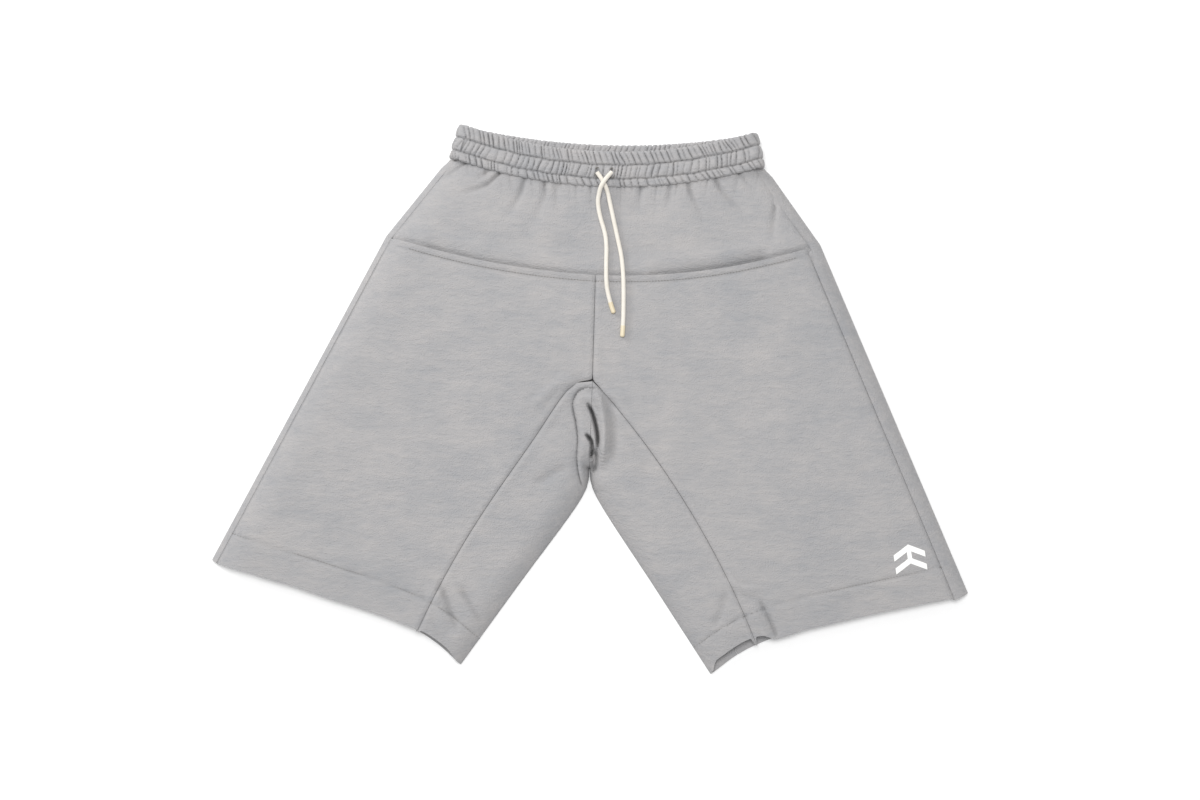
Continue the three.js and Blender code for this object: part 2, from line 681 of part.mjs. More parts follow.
// Each tail leaves its buttonhole, crosses the other just under the band, and lies down the front.
const RIGHT_EXIT_TAIL = [
  [25.3, 258.5, 28.1], [22.5, 255.3, 29.7], [19.6, 251.8, 32.0], [16.8, 248.0, 33.6],
  [14.2, 243.8, 33.3], [12.2, 239.0, 31.4], [10.8, 233.0, 28.9], [9.8, 226.0, 26.9],
  [10.7, 216.0, 25.5], [13.2, 205.0, 24.9], [16.2, 195.0, 24.8], [18.6, 184.0, 24.9],
  [19.4, 172.0, 25.4], [19.2, 160.0, 26.2], [19.1, 149.0, 27.2], [19.2, 138.0, 28.0],
  [20.1, 127.0, 27.8], [22.4, 116.0, 27.6], [25.2, 106.0, 27.4], [28.0, 98.0, 27.3],
];
const LEFT_EXIT_TAIL = [
  [8.6, 258.5, 28.1], [11.5, 254.6, 28.1], [14.4, 250.2, 28.1], [17.0, 245.5, 28.0],
  [19.2, 240.5, 27.6], [21.2, 234.0, 26.9], [23.4, 224.0, 25.8], [25.8, 213.0, 25.1],
  [28.4, 201.0, 24.8], [30.8, 190.0, 24.8], [33.4, 178.0, 25.1], [35.9, 166.0, 25.8],
  [37.5, 154.0, 26.8], [38.4, 142.0, 27.8], [38.8, 130.0, 28.0], [38.9, 118.0, 27.7],
  [38.8, 106.0, 27.4], [38.6, 94.0, 27.2], [38.1, 82.0, 27.0], [37.3, 71.0, 26.7],
];

function tailRoute(points) {
  return new THREE.CatmullRomCurve3(points.map(([x, y, z]) => v3(x, y, z)));
}

// The tail stops where its dipped tip begins.
function tailGeometry(points) {
  const route = tailRoute(points);
  const share = 1 - (TIP_LENGTH + FACE_GAP) / route.getLength();
  const run = [];
  for (let k = 0; k <= 40; k += 1) run.push(route.getPointAt((share * k) / 40));
  return tubeGeometry(new THREE.CatmullRomCurve3(run), CORD_DIAMETER, 36);
}

function tipGeometry(points) {
  const route = tailRoute(points);
  const start = route.getPointAt(1 - TIP_LENGTH / route.getLength());
  return tubeGeometry(new THREE.LineCurve3(start, route.getPointAt(1)), TIP_DIAMETER, 2);
}

// ---------------------------------------------------------------- pockets

// Slants a level piece so that it lies along the leg panel.
function slanted(geometry) {
  const shear = new THREE.Matrix4().set(
    1, 0, 0, 0,
    0, 1, 0, 0,
    0, LEG_SLOPE, 1, -LEG_SLOPE * YOKE_CENTRE.y,
    0, 0, 0, 1,
  );
  return geometry.applyMatrix4(shear);
}

// The stretch of the yoke seam that a pocket mouth takes, `inset` in from each end.
function mouthLine(leg, pocket, inset, below) {
  const reach = Math.abs(leg.yokeSeam.at(-1).x - CENTRE_X);
  const from = (pocket.inner + inset) / reach;
  const to = (pocket.inner + pocket.width - inset) / reach;
  return shareOf(leg.yokeSeam, from, to, 8).map((p) => v2(p.x, p.y - below));
}

function bagOutline(leg, pocket, inset, above) {
  const mouth = mouthLine(leg, pocket, inset, YOKE_ALLOWANCE + SEAM_GAP - above);
  const bottom = mouthLine(leg, pocket, 0, 0)[0].y - POCKET_DEPTH + inset;
  return [...mouth, v2(mouth.at(-1).x, bottom), v2(mouth[0].x, bottom)];
}

// A tray that hangs from the leg panel, open at its top edge.
function pocketBagGeometry(leg, pocket) {
  const floor = YOKE_TOP - POCKETING;
  const legUnder = LEG_TOP - FLEECE;
  const tray = plateGeometry(bagOutline(leg, pocket, 0, 0), floor, legUnder - FACE_GAP - floor);
  const room = plateGeometry(bagOutline(leg, pocket, POCKETING, 20), YOKE_TOP, POCKET_GAPE + 1);
  return slanted(cut(tray, room));
}

// A dense bar of stitching that closes one end of a pocket mouth.
function bartackGeometry(leg, pocket, atInner) {
  const line = mouthLine(leg, pocket, BARTACK.length / 2, BARTACK.width / 2 + FACE_GAP);
  const place = atInner ? line[0] : line.at(-1);
  const height = POCKET_GAPE - 4 * FACE_GAP;
  const bar = new THREE.BoxGeometry(BARTACK.length, BARTACK.width, height);
  bar.translate(place.x, place.y, YOKE_TOP + 2 * FACE_GAP + height / 2);
  return bar;
}

// ---------------------------------------------------------------- pads and their sleeves

function roundedRectangle(width, length, radius) {
  const [x, y] = [width / 2, length / 2];
  const shape = new THREE.Shape();
  shape.absarc(x - radius, y - radius, radius, 0, Math.PI / 2);
  shape.absarc(radius - x, y - radius, radius, Math.PI / 2, Math.PI);
  shape.absarc(radius - x, radius - y, radius, Math.PI, 1.5 * Math.PI);
  shape.absarc(x - radius, radius - y, radius, 1.5 * Math.PI, 2 * Math.PI);
  shape.closePath();
  return shape;
}

function padGeometry(pad) {
  const shape = roundedRectangle(pad.width, pad.length, PAD_CORNER);
  const sides = { depth: PAD_THICKNESS, bevelEnabled: false, curveSegments: 5 };
  return new THREE.ExtrudeGeometry(shape, sides).translate(0, 0, PAD_BOTTOM);
}

// Mesh over the pad, closed at the sides and at the lower end, open towards the waist.
function sleeveGeometry(pad) {
  const x = pad.width / 2 + PAD_CLEARANCE;
  const y = pad.length / 2;
  const cover = boxBetween(v3(-x - MESH, -y - PAD_CLEARANCE - MESH, PAD_BOTTOM), v3(x + MESH, y, SLEEVE_TOP));
  const room = boxBetween(v3(-x, -y - PAD_CLEARANCE, PAD_BOTTOM - 1), v3(x, y + 1, SLEEVE_TOP - MESH));
  return cut(cover, room);
}

// ---------------------------------------------------------------- print on the leg

function markGeometry() {
  const half = MARK.width / 2;
  const chevron = (y) => new THREE.Shape([
    v2(-half, y), v2(0, y + MARK.rise), v2(half, y),
    v2(half, y + MARK.bar), v2(0, y + MARK.rise + MARK.bar), v2(-half, y + MARK.bar),
  ]);
  const stemTop = v3(MARK.stem / 2, MARK.pitch + MARK.rise + 1, MARK.thickness);
  const stem = boxBetween(v3(-MARK.stem / 2, MARK.rise, 0), stemTop);
  const layers = [0, 1].map((k) =>
    new THREE.ExtrudeGeometry(chevron(k * MARK.pitch), { depth: MARK.thickness, bevelEnabled: false }));
  const mark = joined(joined(layers[0], stem), layers[1]);
  const place = HEM_OUT_RIGHT.clone().add(v2(...MARK_FROM_CORNER));
  mark.translate(0, -MARK.pitch, 0).rotateZ(RIGHT_HEM_ANGLE / 2);
  mark.translate(place.x, place.y, LEG_TOP + FACE_GAP);
  return slanted(mark);
}

// ---------------------------------------------------------------- the assembly

const finish = (color, roughness = 0.9) => new THREE.MeshStandardMaterial({ color, roughness, metalness: 0 });
const FLEECE_GREY = finish('#b9b6b4');
const CASING_GREY = finish('#b3b0ae');
const POCKET_GREY = finish('#aaa7a5');
const MESH_GREY = finish('#8d8f92', 0.8);
const ELASTIC_WHITE = finish('#e6e4df');
const CORD_CREAM = finish('#efe9df');
const TIP_CREAM = finish('#e9dcc2', 0.4);
const THREAD_GREY = finish('#9f9c9a', 0.7);
const FOAM_CHARCOAL = finish('#3c3f44', 0.7);
const PRINT_WHITE = finish('#f6f6f4', 0.5);

const garment = new THREE.Group();

function add(name, geometry, material, x = 0, y = 0) {
  const mesh = new THREE.Mesh(geometry, material);
  mesh.name = name;
  mesh.position.set(x, y, 0);
  garment.add(mesh);
}

function addShell() {
  add('front_yoke', yokeGeometry(), FLEECE_GREY);
  add('front_leg_left', frontLegGeometry(LEFT), FLEECE_GREY);
  add('front_leg_right', frontLegGeometry(RIGHT), FLEECE_GREY);
  add('back_leg_left', backLegGeometry(LEFT), FLEECE_GREY);
  add('back_leg_right', backLegGeometry(RIGHT), FLEECE_GREY);
  add('gusset_left', gussetGeometry(LEFT), FLEECE_GREY);
  add('gusset_right', gussetGeometry(RIGHT), FLEECE_GREY);
  add('leg_print', markGeometry(), PRINT_WHITE);
}

function addWaistband() {
  add('waistband_casing', casingGeometry(), CASING_GREY);
  add('waist_elastic', elasticGeometry(), ELASTIC_WHITE);
  add('buttonhole_left', eyeletGeometry(EYELETS[0]), THREAD_GREY);
  add('buttonhole_right', eyeletGeometry(EYELETS[1]), THREAD_GREY);
  add('drawcord_channel_run', channelCordGeometry(), CORD_CREAM);
  add('drawcord_tail_left', tailGeometry(RIGHT_EXIT_TAIL), CORD_CREAM);
  add('drawcord_tail_right', tailGeometry(LEFT_EXIT_TAIL), CORD_CREAM);
  add('cord_tip_left', tipGeometry(RIGHT_EXIT_TAIL), TIP_CREAM);
  add('cord_tip_right', tipGeometry(LEFT_EXIT_TAIL), TIP_CREAM);
}

function addPockets() {
  for (const [name, leg, pocket] of [['left', LEFT, POCKET_LEFT], ['right', RIGHT, POCKET_RIGHT]]) {
    add(`pocket_bag_${name}`, pocketBagGeometry(leg, pocket), POCKET_GREY);
    add(`pocket_bartack_${name}_inner`, bartackGeometry(leg, pocket, true), THREAD_GREY);
    add(`pocket_bartack_${name}_outer`, bartackGeometry(leg, pocket, false), THREAD_GREY);
  }
}

function addPads() {
  const seatX = TAIL_PAD.width / 2 + PAD_GAP + SEAT_PAD.width / 2;
  const hipX = seatX + SEAT_PAD.width / 2 + PAD_GAP + HIP_PAD.width / 2;
  const places = [['tailbone', TAIL_PAD, 0, TAIL_PAD_Y]];
  for (const [name, side] of [['left', -1], ['right', 1]]) {
    places.push([`seat_${name}`, SEAT_PAD, side * seatX, SEAT_PAD_Y]);
    places.push([`hip_${name}`, HIP_PAD, side * hipX, HIP_PAD_Y]);
  }
  for (const [name, pad, x, y] of places) {
    add(`${name}_pad`, padGeometry(pad), FOAM_CHARCOAL, TAIL_X + x, y);
    add(`${name}_sleeve`, sleeveGeometry(pad), MESH_GREY, TAIL_X + x, y);
  }
}

addShell();
addWaistband();
addPockets();
addPads();

// The origin goes to the middle of the shorts' own footprint, without the loose cord.
const footprint = new THREE.Box3();
for (const mesh of garment.children) {
  if (!/^(drawcord_tail|cord_tip)/.test(mesh.name)) footprint.expandByObject(mesh);
}
const middle = footprint.getCenter(v3(0, 0, 0));
garment.position.set(-middle.x, -middle.y, 0);

const shorts = new THREE.Group();
shorts.add(garment);

export default shorts;
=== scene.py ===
# %% [markdown]
# # Padded fleece shorts, laid flat
#
# The shorts lie on their back with the front facing up. Their cut, their heights and their moving
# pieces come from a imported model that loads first. This script dresses it: sewn fleece panels with
# rolled seams, a gathered waistband, a knitted drawcord, pocket bags, and foam pads in mesh covers.

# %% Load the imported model
import math

import bpy
import numpy as np
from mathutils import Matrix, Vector


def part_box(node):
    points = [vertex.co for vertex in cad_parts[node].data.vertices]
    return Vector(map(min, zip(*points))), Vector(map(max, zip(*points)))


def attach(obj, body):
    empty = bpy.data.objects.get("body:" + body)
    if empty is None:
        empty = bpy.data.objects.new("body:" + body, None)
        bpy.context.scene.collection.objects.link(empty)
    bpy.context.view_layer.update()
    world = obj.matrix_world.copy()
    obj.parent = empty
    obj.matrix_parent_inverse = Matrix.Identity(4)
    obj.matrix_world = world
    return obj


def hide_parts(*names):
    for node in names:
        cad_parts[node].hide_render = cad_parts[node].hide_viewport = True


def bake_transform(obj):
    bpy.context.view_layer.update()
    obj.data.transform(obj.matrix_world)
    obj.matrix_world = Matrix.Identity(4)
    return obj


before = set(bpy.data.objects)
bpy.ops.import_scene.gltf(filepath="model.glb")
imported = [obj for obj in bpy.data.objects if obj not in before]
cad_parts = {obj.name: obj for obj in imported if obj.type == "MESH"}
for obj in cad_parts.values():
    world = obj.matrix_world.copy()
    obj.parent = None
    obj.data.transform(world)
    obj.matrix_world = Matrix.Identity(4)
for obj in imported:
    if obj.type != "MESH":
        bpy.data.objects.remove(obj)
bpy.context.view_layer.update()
MM = 0.001

# The pattern below is drawn in millimetres from the garment's own datum. One known pad says
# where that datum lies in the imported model.
TAILBONE_PAD_MIDDLE = np.array([7.0, 130.0])
pad_low, pad_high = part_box("tailbone_pad")
DATUM = np.array([(pad_low[k] + pad_high[k]) / 2 / MM for k in range(2)]) - TAILBONE_PAD_MIDDLE
print("datum offset in mm", DATUM.round(3))


def to_metres(points):
    """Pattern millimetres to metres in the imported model's frame."""
    points = np.asarray(points, dtype=float).copy()
    points[..., 0] += DATUM[0]
    points[..., 1] += DATUM[1]
    return points * MM


def pattern_box(name):
    """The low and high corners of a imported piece, in pattern millimetres."""
    return [np.array(corner) / MM - [*DATUM, 0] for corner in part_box(name)]


def placed(name, data):
    """A new object in the scene."""
    made = bpy.data.objects.new(name, data)
    bpy.context.scene.collection.objects.link(made)
    return made


# %% [markdown]
# ## Camera
#
# The shorts are seen from straight above. A 60 mm lens at 2.3 m takes in 1.38 m, and the camera
# has no tilt, so the outline keeps its true proportions.

# %% Camera
LENS_MM = 60
SENSOR_MM = 36
CAMERA_HEIGHT = 2.3
CAMERA_AIM = (0.0115, -0.0006)
camera_data = bpy.data.cameras.new("camera")
camera_data.lens = LENS_MM
camera_data.sensor_width = SENSOR_MM
camera_data.clip_end = 20
camera = placed("camera", camera_data)
camera.location = (*CAMERA_AIM, CAMERA_HEIGHT)
bpy.context.scene.camera = camera
print("view is", round(CAMERA_HEIGHT * SENSOR_MM / LENS_MM, 3), "m wide")

# %% [markdown]
# ## Meshes from grids
#
# Cloth is easiest to shape as a grid of points: every panel is a grid, pushed up and down, with a
# second grid a cloth's thickness beneath it and a rim that joins the two. That keeps each panel a
# closed solid, which an exported model needs.

# %% Mesh helpers
SHARP_ANGLE = math.radians(55)
FINISHED = []


def new_piece(name, points, faces, body="shorts"):
    mesh = bpy.data.meshes.new(name)
    mesh.from_pydata(np.asarray(points).reshape(-1, 3).tolist(), [], faces)
    mesh.validate()
    mesh.polygons.foreach_set("use_smooth", [True] * len(mesh.polygons))
    mesh.set_sharp_from_angle(angle=SHARP_ANGLE)
    piece = placed(name, mesh)
    if body:
        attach(piece, body)
    return piece


def finish_with(piece, finish):
    """Says which finish a piece takes. It is dressed once the finishes are mixed."""
    FINISHED.append((piece, finish))


def grid_faces(rows, columns, first=0, flip=False):
    faces = []
    for i in range(rows - 1):
        for j in range(columns - 1):
            a = first + i * columns + j
            quad = (a, a + columns, a + columns + 1, a + 1)
            faces.append(quad[::-1] if flip else quad)
    return faces


def grid_normals(grid):
    down = np.gradient(grid, axis=0)
    across = np.gradient(grid, axis=1)
    normal = np.cross(down, across)
    length = np.linalg.norm(normal, axis=2, keepdims=True)
    return normal / np.maximum(length, 1e-9)


def solid_faces(rows, columns, flip=False):
    """The faces of a closed sheet: an outer grid, an inner grid and the rim that joins them."""
    count = rows * columns
    faces = grid_faces(rows, columns, 0, flip)
    faces += grid_faces(rows, columns, count, not flip)
    rim = [i * columns for i in range(rows)]
    rim += [(rows - 1) * columns + j for j in range(1, columns)]
    rim += [i * columns + columns - 1 for i in range(rows - 2, -1, -1)]
    rim += list(range(columns - 2, 0, -1))
    for a, b in zip(rim, rim[1:] + rim[:1]):
        quad = (a, b, b + count, a + count)
        faces.append(quad if flip else quad[::-1])
    return faces


def sheet_solid(name, outer, inner):
    """A closed sheet between two grids of points in pattern millimetres."""
    up_is_out = np.median(np.sum(grid_normals(outer) * (outer - inner), axis=2)) > 0
    points = to_metres(np.concatenate([outer.reshape(-1, 3), inner.reshape(-1, 3)]))
    return new_piece(name, points, solid_faces(*outer.shape[:2], not up_is_out))


def with_height(flat, z):
    """Flat places, each with its height."""
    return np.concatenate([flat, z[..., None]], axis=-1)


def softened(values, reach):
    """The mean of a grid's values over a small square round each point."""
    padded = np.pad(values, reach, mode="edge")
    span = range(2 * reach + 1)
    rows, columns = values.shape
    return sum(padded[i : i + rows, j : j + columns] for i in span for j in span) / len(span) ** 2


def shut_in(height, reach, full):
    """From 0 on open cloth to 1 in a crease this many millimetres deeper than what is round it."""
    return np.clip((softened(height, reach) - height) / full, 0, 1)


def paint_crease_shade(piece, painted_shade):
    """Painted shade: stores how deep each point lies in a crease, and the cloth's finish darkens the
    colour there.
    """
    layer = piece.data.attributes.new("crease", "FLOAT", "POINT")
    values = np.zeros(len(piece.data.vertices), dtype=np.float32)
    values[: painted_shade.size] = painted_shade.ravel()
    layer.data.foreach_set("value", values)


# %% [markdown]
# ## Smooth irregularity
#
# Washed cloth is never quite flat. A lattice of seeded random heights, eased between its points,
# gives soft swells of a chosen width and comes out the same each time.

# %% Seeded soft noise
def ease(t):
    t = np.clip(t, 0, 1)
    return t * t * (3 - 2 * t)


def bell(distance, width):
    """1 at no distance, and next to nothing from twice this width on."""
    return np.exp(-((distance / width) ** 2))


def quarter_round(share, least=0.0):
    """The height of a quarter circle: 0 at its edge and 1 from its top on."""
    return np.sqrt(np.clip(1 - (1 - np.clip(share, 0, 1)) ** 2, least, 1))


LATTICES = {}
LATTICE_SIZE = 64


def swell(x, y, width, seed):
    """Soft bumps between -1 and 1, about `width` millimetres apart."""
    if seed not in LATTICES:
        LATTICES[seed] = np.random.default_rng(seed).uniform(-1, 1, (LATTICE_SIZE,) * 2)
    lattice = LATTICES[seed]
    gx, gy = np.asarray(x) / width + 500, np.asarray(y) / width + 500
    ix, iy = np.floor(gx).astype(int), np.floor(gy).astype(int)
    fx, fy = ease(gx - ix), ease(gy - iy)

    def corner(a, b):
        return lattice[(ix + a) % LATTICE_SIZE, (iy + b) % LATTICE_SIZE]

    low = corner(0, 0) * (1 - fx) + corner(1, 0) * fx
    high = corner(0, 1) * (1 - fx) + corner(1, 1) * fx
    return low * (1 - fy) + high * fy


# %% [markdown]
# ## Pattern lines
#
# A pattern cutter draws seams, not surfaces. These are the garment's own sizes in millimetres and
# the lines that follow from them, and each panel is the patch between four of those lines.

# %% Garment sizes
FLEECE = 1.8
SEAM_GAP = 0.4
WAIST_WIDTH = 365
BAND_HEIGHT = 41
BAND_THICKNESS = 10
WAIST_CAVITY = 5
BAND_FRONT_SAG = 26
BAND_BACK_SAG = 17
BAND_TILT = math.radians(-1.6)
WAIST = np.array([19.5, 242.0])
CENTRE_X = 7
HIP_FLARE = {-1: 72, 1: 63}
YOKE_SIDE = 89
YOKE_DEPTH = 100
YOKE_SAG = {-1: 8, 1: -12}
YOKE_ALLOWANCE = 12
SIDE_LENGTH = {-1: 422, 1: 434}
LEG_ANGLE = {-1: math.radians(-28.3), 1: math.radians(23)}
HEM_ANGLE = {-1: math.pi / 2 - math.radians(22.8), 1: math.radians(17.5) - math.pi / 2}
HEM_OPENING = 310
HEM_LIFT = 18
HEM_LIFT_PLACE = 0.72
CROTCH = np.array([0.0, -79.0])
CROTCH_TURN = 35
APEX = CROTCH + [3.5, 102]
BACK_APEX = CROTCH + [3.5, 60]
GUSSET_HEM = 62
GUSSET_BACK = 38
GUSSET_BOW = 16
WRAP = {-1: 7, 1: 18}
SIDE_ROUND = 40
INNER_ROUND = 30
HIP_STEPS = 8
LEG_STEPS = 16
YOKE_SHARE = HIP_STEPS / (HIP_STEPS + LEG_STEPS)
LEG_TOP = 25.2
LEG_SLOPE = 9 / 460
SIDES = {"left": -1, "right": 1}


# %% Line helpers
def line(*points):
    return np.array(points, dtype=float)


def straight(a, b, count=24):
    return np.linspace(a, b, count + 1)


def evenly(points, count=24):
    """The same run of lines, cut into equal lengths."""
    points = np.asarray(points, dtype=float)
    steps = np.linalg.norm(np.diff(points, axis=0), axis=1)
    travelled = np.concatenate([[0], np.cumsum(steps)])
    at = np.linspace(0, travelled[-1], count + 1)
    return np.stack([np.interp(at, travelled, points[:, k]) for k in range(points.shape[1])], 1)


def spline(points, count=24):
    """A smooth curve through the points, cut into equal lengths."""
    points = np.asarray(points, dtype=float)
    padded = np.concatenate([points[:1], points, points[-1:]])
    fine = []
    for i in range(len(points) - 1):
        p0, p1, p2, p3 = padded[i : i + 4]
        t = np.linspace(0, 1, 40, endpoint=False)[:, None]
        v0, v1 = (p2 - p0) / 2, (p3 - p1) / 2
        cubic = (2 * p1 - 2 * p2 + v0 + v1) * t**3 + (-3 * p1 + 3 * p2 - 2 * v0 - v1) * t**2
        fine.append(cubic + v0 * t + p1)
    return evenly(np.concatenate(fine + [points[-1:]]), count)


def bowed(a, b, bow, count=24):
    """A line from a to b that bows to the left of its direction."""
    a, b = np.asarray(a, float), np.asarray(b, float)
    side = np.array([-(b - a)[1], (b - a)[0]]) / np.linalg.norm(b - a)
    middle = (a + b) / 2 + 2 * bow * side
    t = np.linspace(0, 1, 80)[:, None]
    return evenly((1 - t) ** 2 * a + 2 * t * (1 - t) * middle + t**2 * b, count)


def tangents(points):
    run = np.gradient(points, axis=0)
    return run / np.linalg.norm(run, axis=1, keepdims=True)


def leftward(directions):
    return np.stack([-directions[:, 1], directions[:, 0]], 1)


def offset(points, distance):
    return points + distance * leftward(tangents(points))


def along(points, share):
    at = np.asarray(share) * (len(points) - 1)
    axis = np.arange(len(points))
    return np.stack([np.interp(at, axis, points[:, k]) for k in range(points.shape[1])], -1)


def share_of(points, start, end, count=24):
    return along(points, np.linspace(start, end, count + 1))


def directed(start, angle, length):
    return np.asarray(start) + length * np.array([math.sin(angle), -math.cos(angle)])


def patch(top, bottom, left, right, u, v):
    """A grid between four edges: rows follow u across and columns follow v down."""
    u, v = np.asarray(u)[:, None], np.asarray(v)[None, :]
    U, V = u[..., None], v[..., None]
    p = along(top, u) * (1 - V) + along(bottom, u) * V
    p = p + along(left, v) * (1 - U) + along(right, v) * U
    p = p - top[0] * (1 - U) * (1 - V) - top[-1] * U * (1 - V)
    return p - bottom[0] * (1 - U) * V - bottom[-1] * U * V


def distance_to(x, y, points):
    """Shortest distance from each place to a run of lines."""
    place = np.stack([np.ravel(x), np.ravel(y)], 1)
    best = np.full(len(place), 1e9)
    for a, b in zip(points[:-1], points[1:]):
        step = b - a
        share = np.clip((place - a) @ step / max(step @ step, 1e-9), 0, 1)
        foot = a + share[:, None] * step
        best = np.minimum(best, np.linalg.norm(place - foot, axis=1))
    return best.reshape(np.shape(x))


def fold_run(x, y, points, height, width, fades=(0.3, 0.3), spreads=0.0):
    """A crease or roll along a run of lines, fading out towards its ends and perhaps widening."""
    place = np.stack([np.ravel(x), np.ravel(y)], 1)
    smooth = spline(points, 24)
    steps = np.linalg.norm(place[:, None, :] - smooth[None, :, :], axis=2)
    share = np.argmin(steps, axis=1) / (len(smooth) - 1)
    away = distance_to(x, y, smooth)
    strength = ease(share / fades[0] + 0.1) * ease((1 - share) / fades[1] + 0.05)
    wide = width * (1 + spreads * share)
    return height * strength.reshape(np.shape(x)) * bell(away, wide.reshape(np.shape(x)))


# %% Waistband lines
def band_arc(sag):
    half = WAIST_WIDTH / 2 - BAND_THICKNESS - WAIST_CAVITY / 2
    radius = (half * half + sag * sag) / (2 * sag)
    return radius, math.asin(half / radius), WAIST + [0, BAND_FRONT_SAG - sag + radius]


def turned(vector, angle):
    c, s = math.cos(angle), math.sin(angle)
    x, y = vector[..., 0], vector[..., 1]
    return np.stack([c * x - s * y, s * x + c * y], -1)


def band_point(sag, share):
    """A place on the band's lower edge, and the way up the band there."""
    radius, reach, centre = band_arc(sag)
    angle = -reach + 2 * reach * np.asarray(share, dtype=float)
    up = np.stack([-np.sin(angle), np.cos(angle)], -1)
    point = centre - radius * up
    return WAIST + turned(point - WAIST, BAND_TILT), turned(up, BAND_TILT)


def band_edge(sag, start, end, below):
    point, up = band_point(sag, np.linspace(start, end, 61))
    return point - below * up


def waist_corner(share):
    point, up = band_point(BAND_FRONT_SAG, share)
    outward = np.array([up[1], -up[0]]) * (1 if share else -1)
    return point + (BAND_THICKNESS + WAIST_CAVITY / 2) * outward


# %% Panel lines of each leg
YOKE_CENTRE = np.array([CENTRE_X, WAIST[1] - YOKE_DEPTH])
# The left gusset's seam arches up where it leaves the apex.
ARCH = 12
ARCH_PLACE = 28
LEG = {}
for side in (-1, 1):
    waist = waist_corner(0 if side < 0 else 1)
    yoke = waist + [side * HIP_FLARE[side], -YOKE_SIDE]
    hem_out = directed(yoke, LEG_ANGLE[side], SIDE_LENGTH[side])
    hem_in = directed(hem_out, HEM_ANGLE[side], HEM_OPENING)
    across = hem_in - hem_out
    lift = side * HEM_LIFT * np.array([across[1], -across[0]]) / np.linalg.norm(across)
    hem = spline([hem_out, hem_out + HEM_LIFT_PLACE * across + lift, hem_in], 60)
    turn = np.array([CROTCH[0] + 0.066 * (hem_in[0] - CROTCH[0]), CROTCH[1] - CROTCH_TURN])
    gusset_seam = bowed(APEX, along(hem, 1 - GUSSET_HEM / HEM_OPENING), side * GUSSET_BOW)
    if side < 0:
        from_apex = np.linalg.norm(gusset_seam - APEX, axis=1) / ARCH_PLACE
        gusset_seam = offset(gusset_seam, (-ARCH * from_apex * np.exp(1 - from_apex))[:, None])
    LEG[side] = {
        "hem": hem,
        "side_fold": np.concatenate(
            [straight(waist, yoke, HIP_STEPS), straight(yoke, hem_out, LEG_STEPS)[1:]]
        ),
        "inner_fold": spline([CROTCH, turn, (turn + hem_in) / 2, hem_in]),
        "yoke_seam": bowed(YOKE_CENTRE, yoke, YOKE_SAG[side]),
        "gusset_seam": gusset_seam,
        "back_seam": straight(BACK_APEX, along(hem, 1 - GUSSET_BACK / HEM_OPENING)),
    }
    print("leg", side, "hem from", hem_out.round(), "to", hem_in.round())

# %% [markdown]
# ## How high the cloth lies
#
# The front is one skin that rises from the folds at its edges. Its height is worked out from a
# place on the table, so neighbouring panels always meet, and seams, creases and rolled folds are
# only added or taken away from it. That is simpler to control than a simulation of loose cloth.

# %% Rise from the folds
FOLDS = [(LEG[s]["side_fold"], SIDE_ROUND) for s in (-1, 1)]
FOLDS += [(LEG[s]["inner_fold"], INNER_ROUND) for s in (-1, 1)]


def rise(x, y):
    """Share of full height, from 0 on a fold to 1 well inside."""
    nearest = np.min([distance_to(x, y, fold) / width for fold, width in FOLDS], axis=0)
    return quarter_round(nearest)


# %% Gathers of the elastic
def creases(seed, length, narrow, wide):
    rng = np.random.default_rng(seed)
    places = [0.0]
    while places[-1] < length:
        places.append(places[-1] + rng.uniform(narrow, wide))
    return np.array(places), rng.uniform(0.35, 1.0, len(places))


PUFF_POWER = 0.42


def puffs(s, gathers):
    """0 on the top of a puff and down to -1 in a deep crease."""
    places, depths = gathers
    s = np.clip(s, 0, places[-1] - 1e-6)
    i = np.clip(np.searchsorted(places, s, side="right") - 1, 0, len(places) - 2)
    q = (s - places[i]) / (places[i + 1] - places[i])
    profile = (4 * q * (1 - q)) ** PUFF_POWER
    return -(1 - profile) * (depths[i] * (1 - q) + depths[i + 1] * q)


BAND_LOOP = 2 * WAIST_WIDTH + 40
ROW_LINES = (10.0, 25.5)
ROW_GATHERS = [creases(31 + k, BAND_LOOP + 20, 3.0, 11.0 - k) for k in range(3)]
TUCKS = creases(47, BAND_LOOP, 9.0, 26.0)


# %% Height of the yoke and of the legs
def seam_height_at(x):
    run = np.concatenate([LEG[-1]["yoke_seam"][::-1], LEG[1]["yoke_seam"][1:]])
    return np.interp(x, run[:, 0], run[:, 1])


POCKETS = {-1: (24, 176, 0.55), 1: (56, 146, 1.35)}


def pocket_mouth(x):
    """1 along a pocket mouth and 0 where the yoke is sewn down."""
    open_here = np.zeros_like(x)
    for side, (inner, width, gape) in POCKETS.items():
        reach = side * (x - CENTRE_X)
        opening = gape * (0.6 + 0.7 * np.clip((reach - inner) / width, 0, 1))
        open_here += opening * ease((reach - inner) / 16) * ease((inner + width - reach) / 16)
    return open_here


def undulation(x, y):
    broad = 0.9 * swell(x, y, 95, 3) + 0.5 * swell(x + 0.5 * y, y, 48, 5)
    return broad + 0.2 * swell(x, y - 0.4 * x, 21, 7) + 0.07 * swell(x, y, 9, 9)


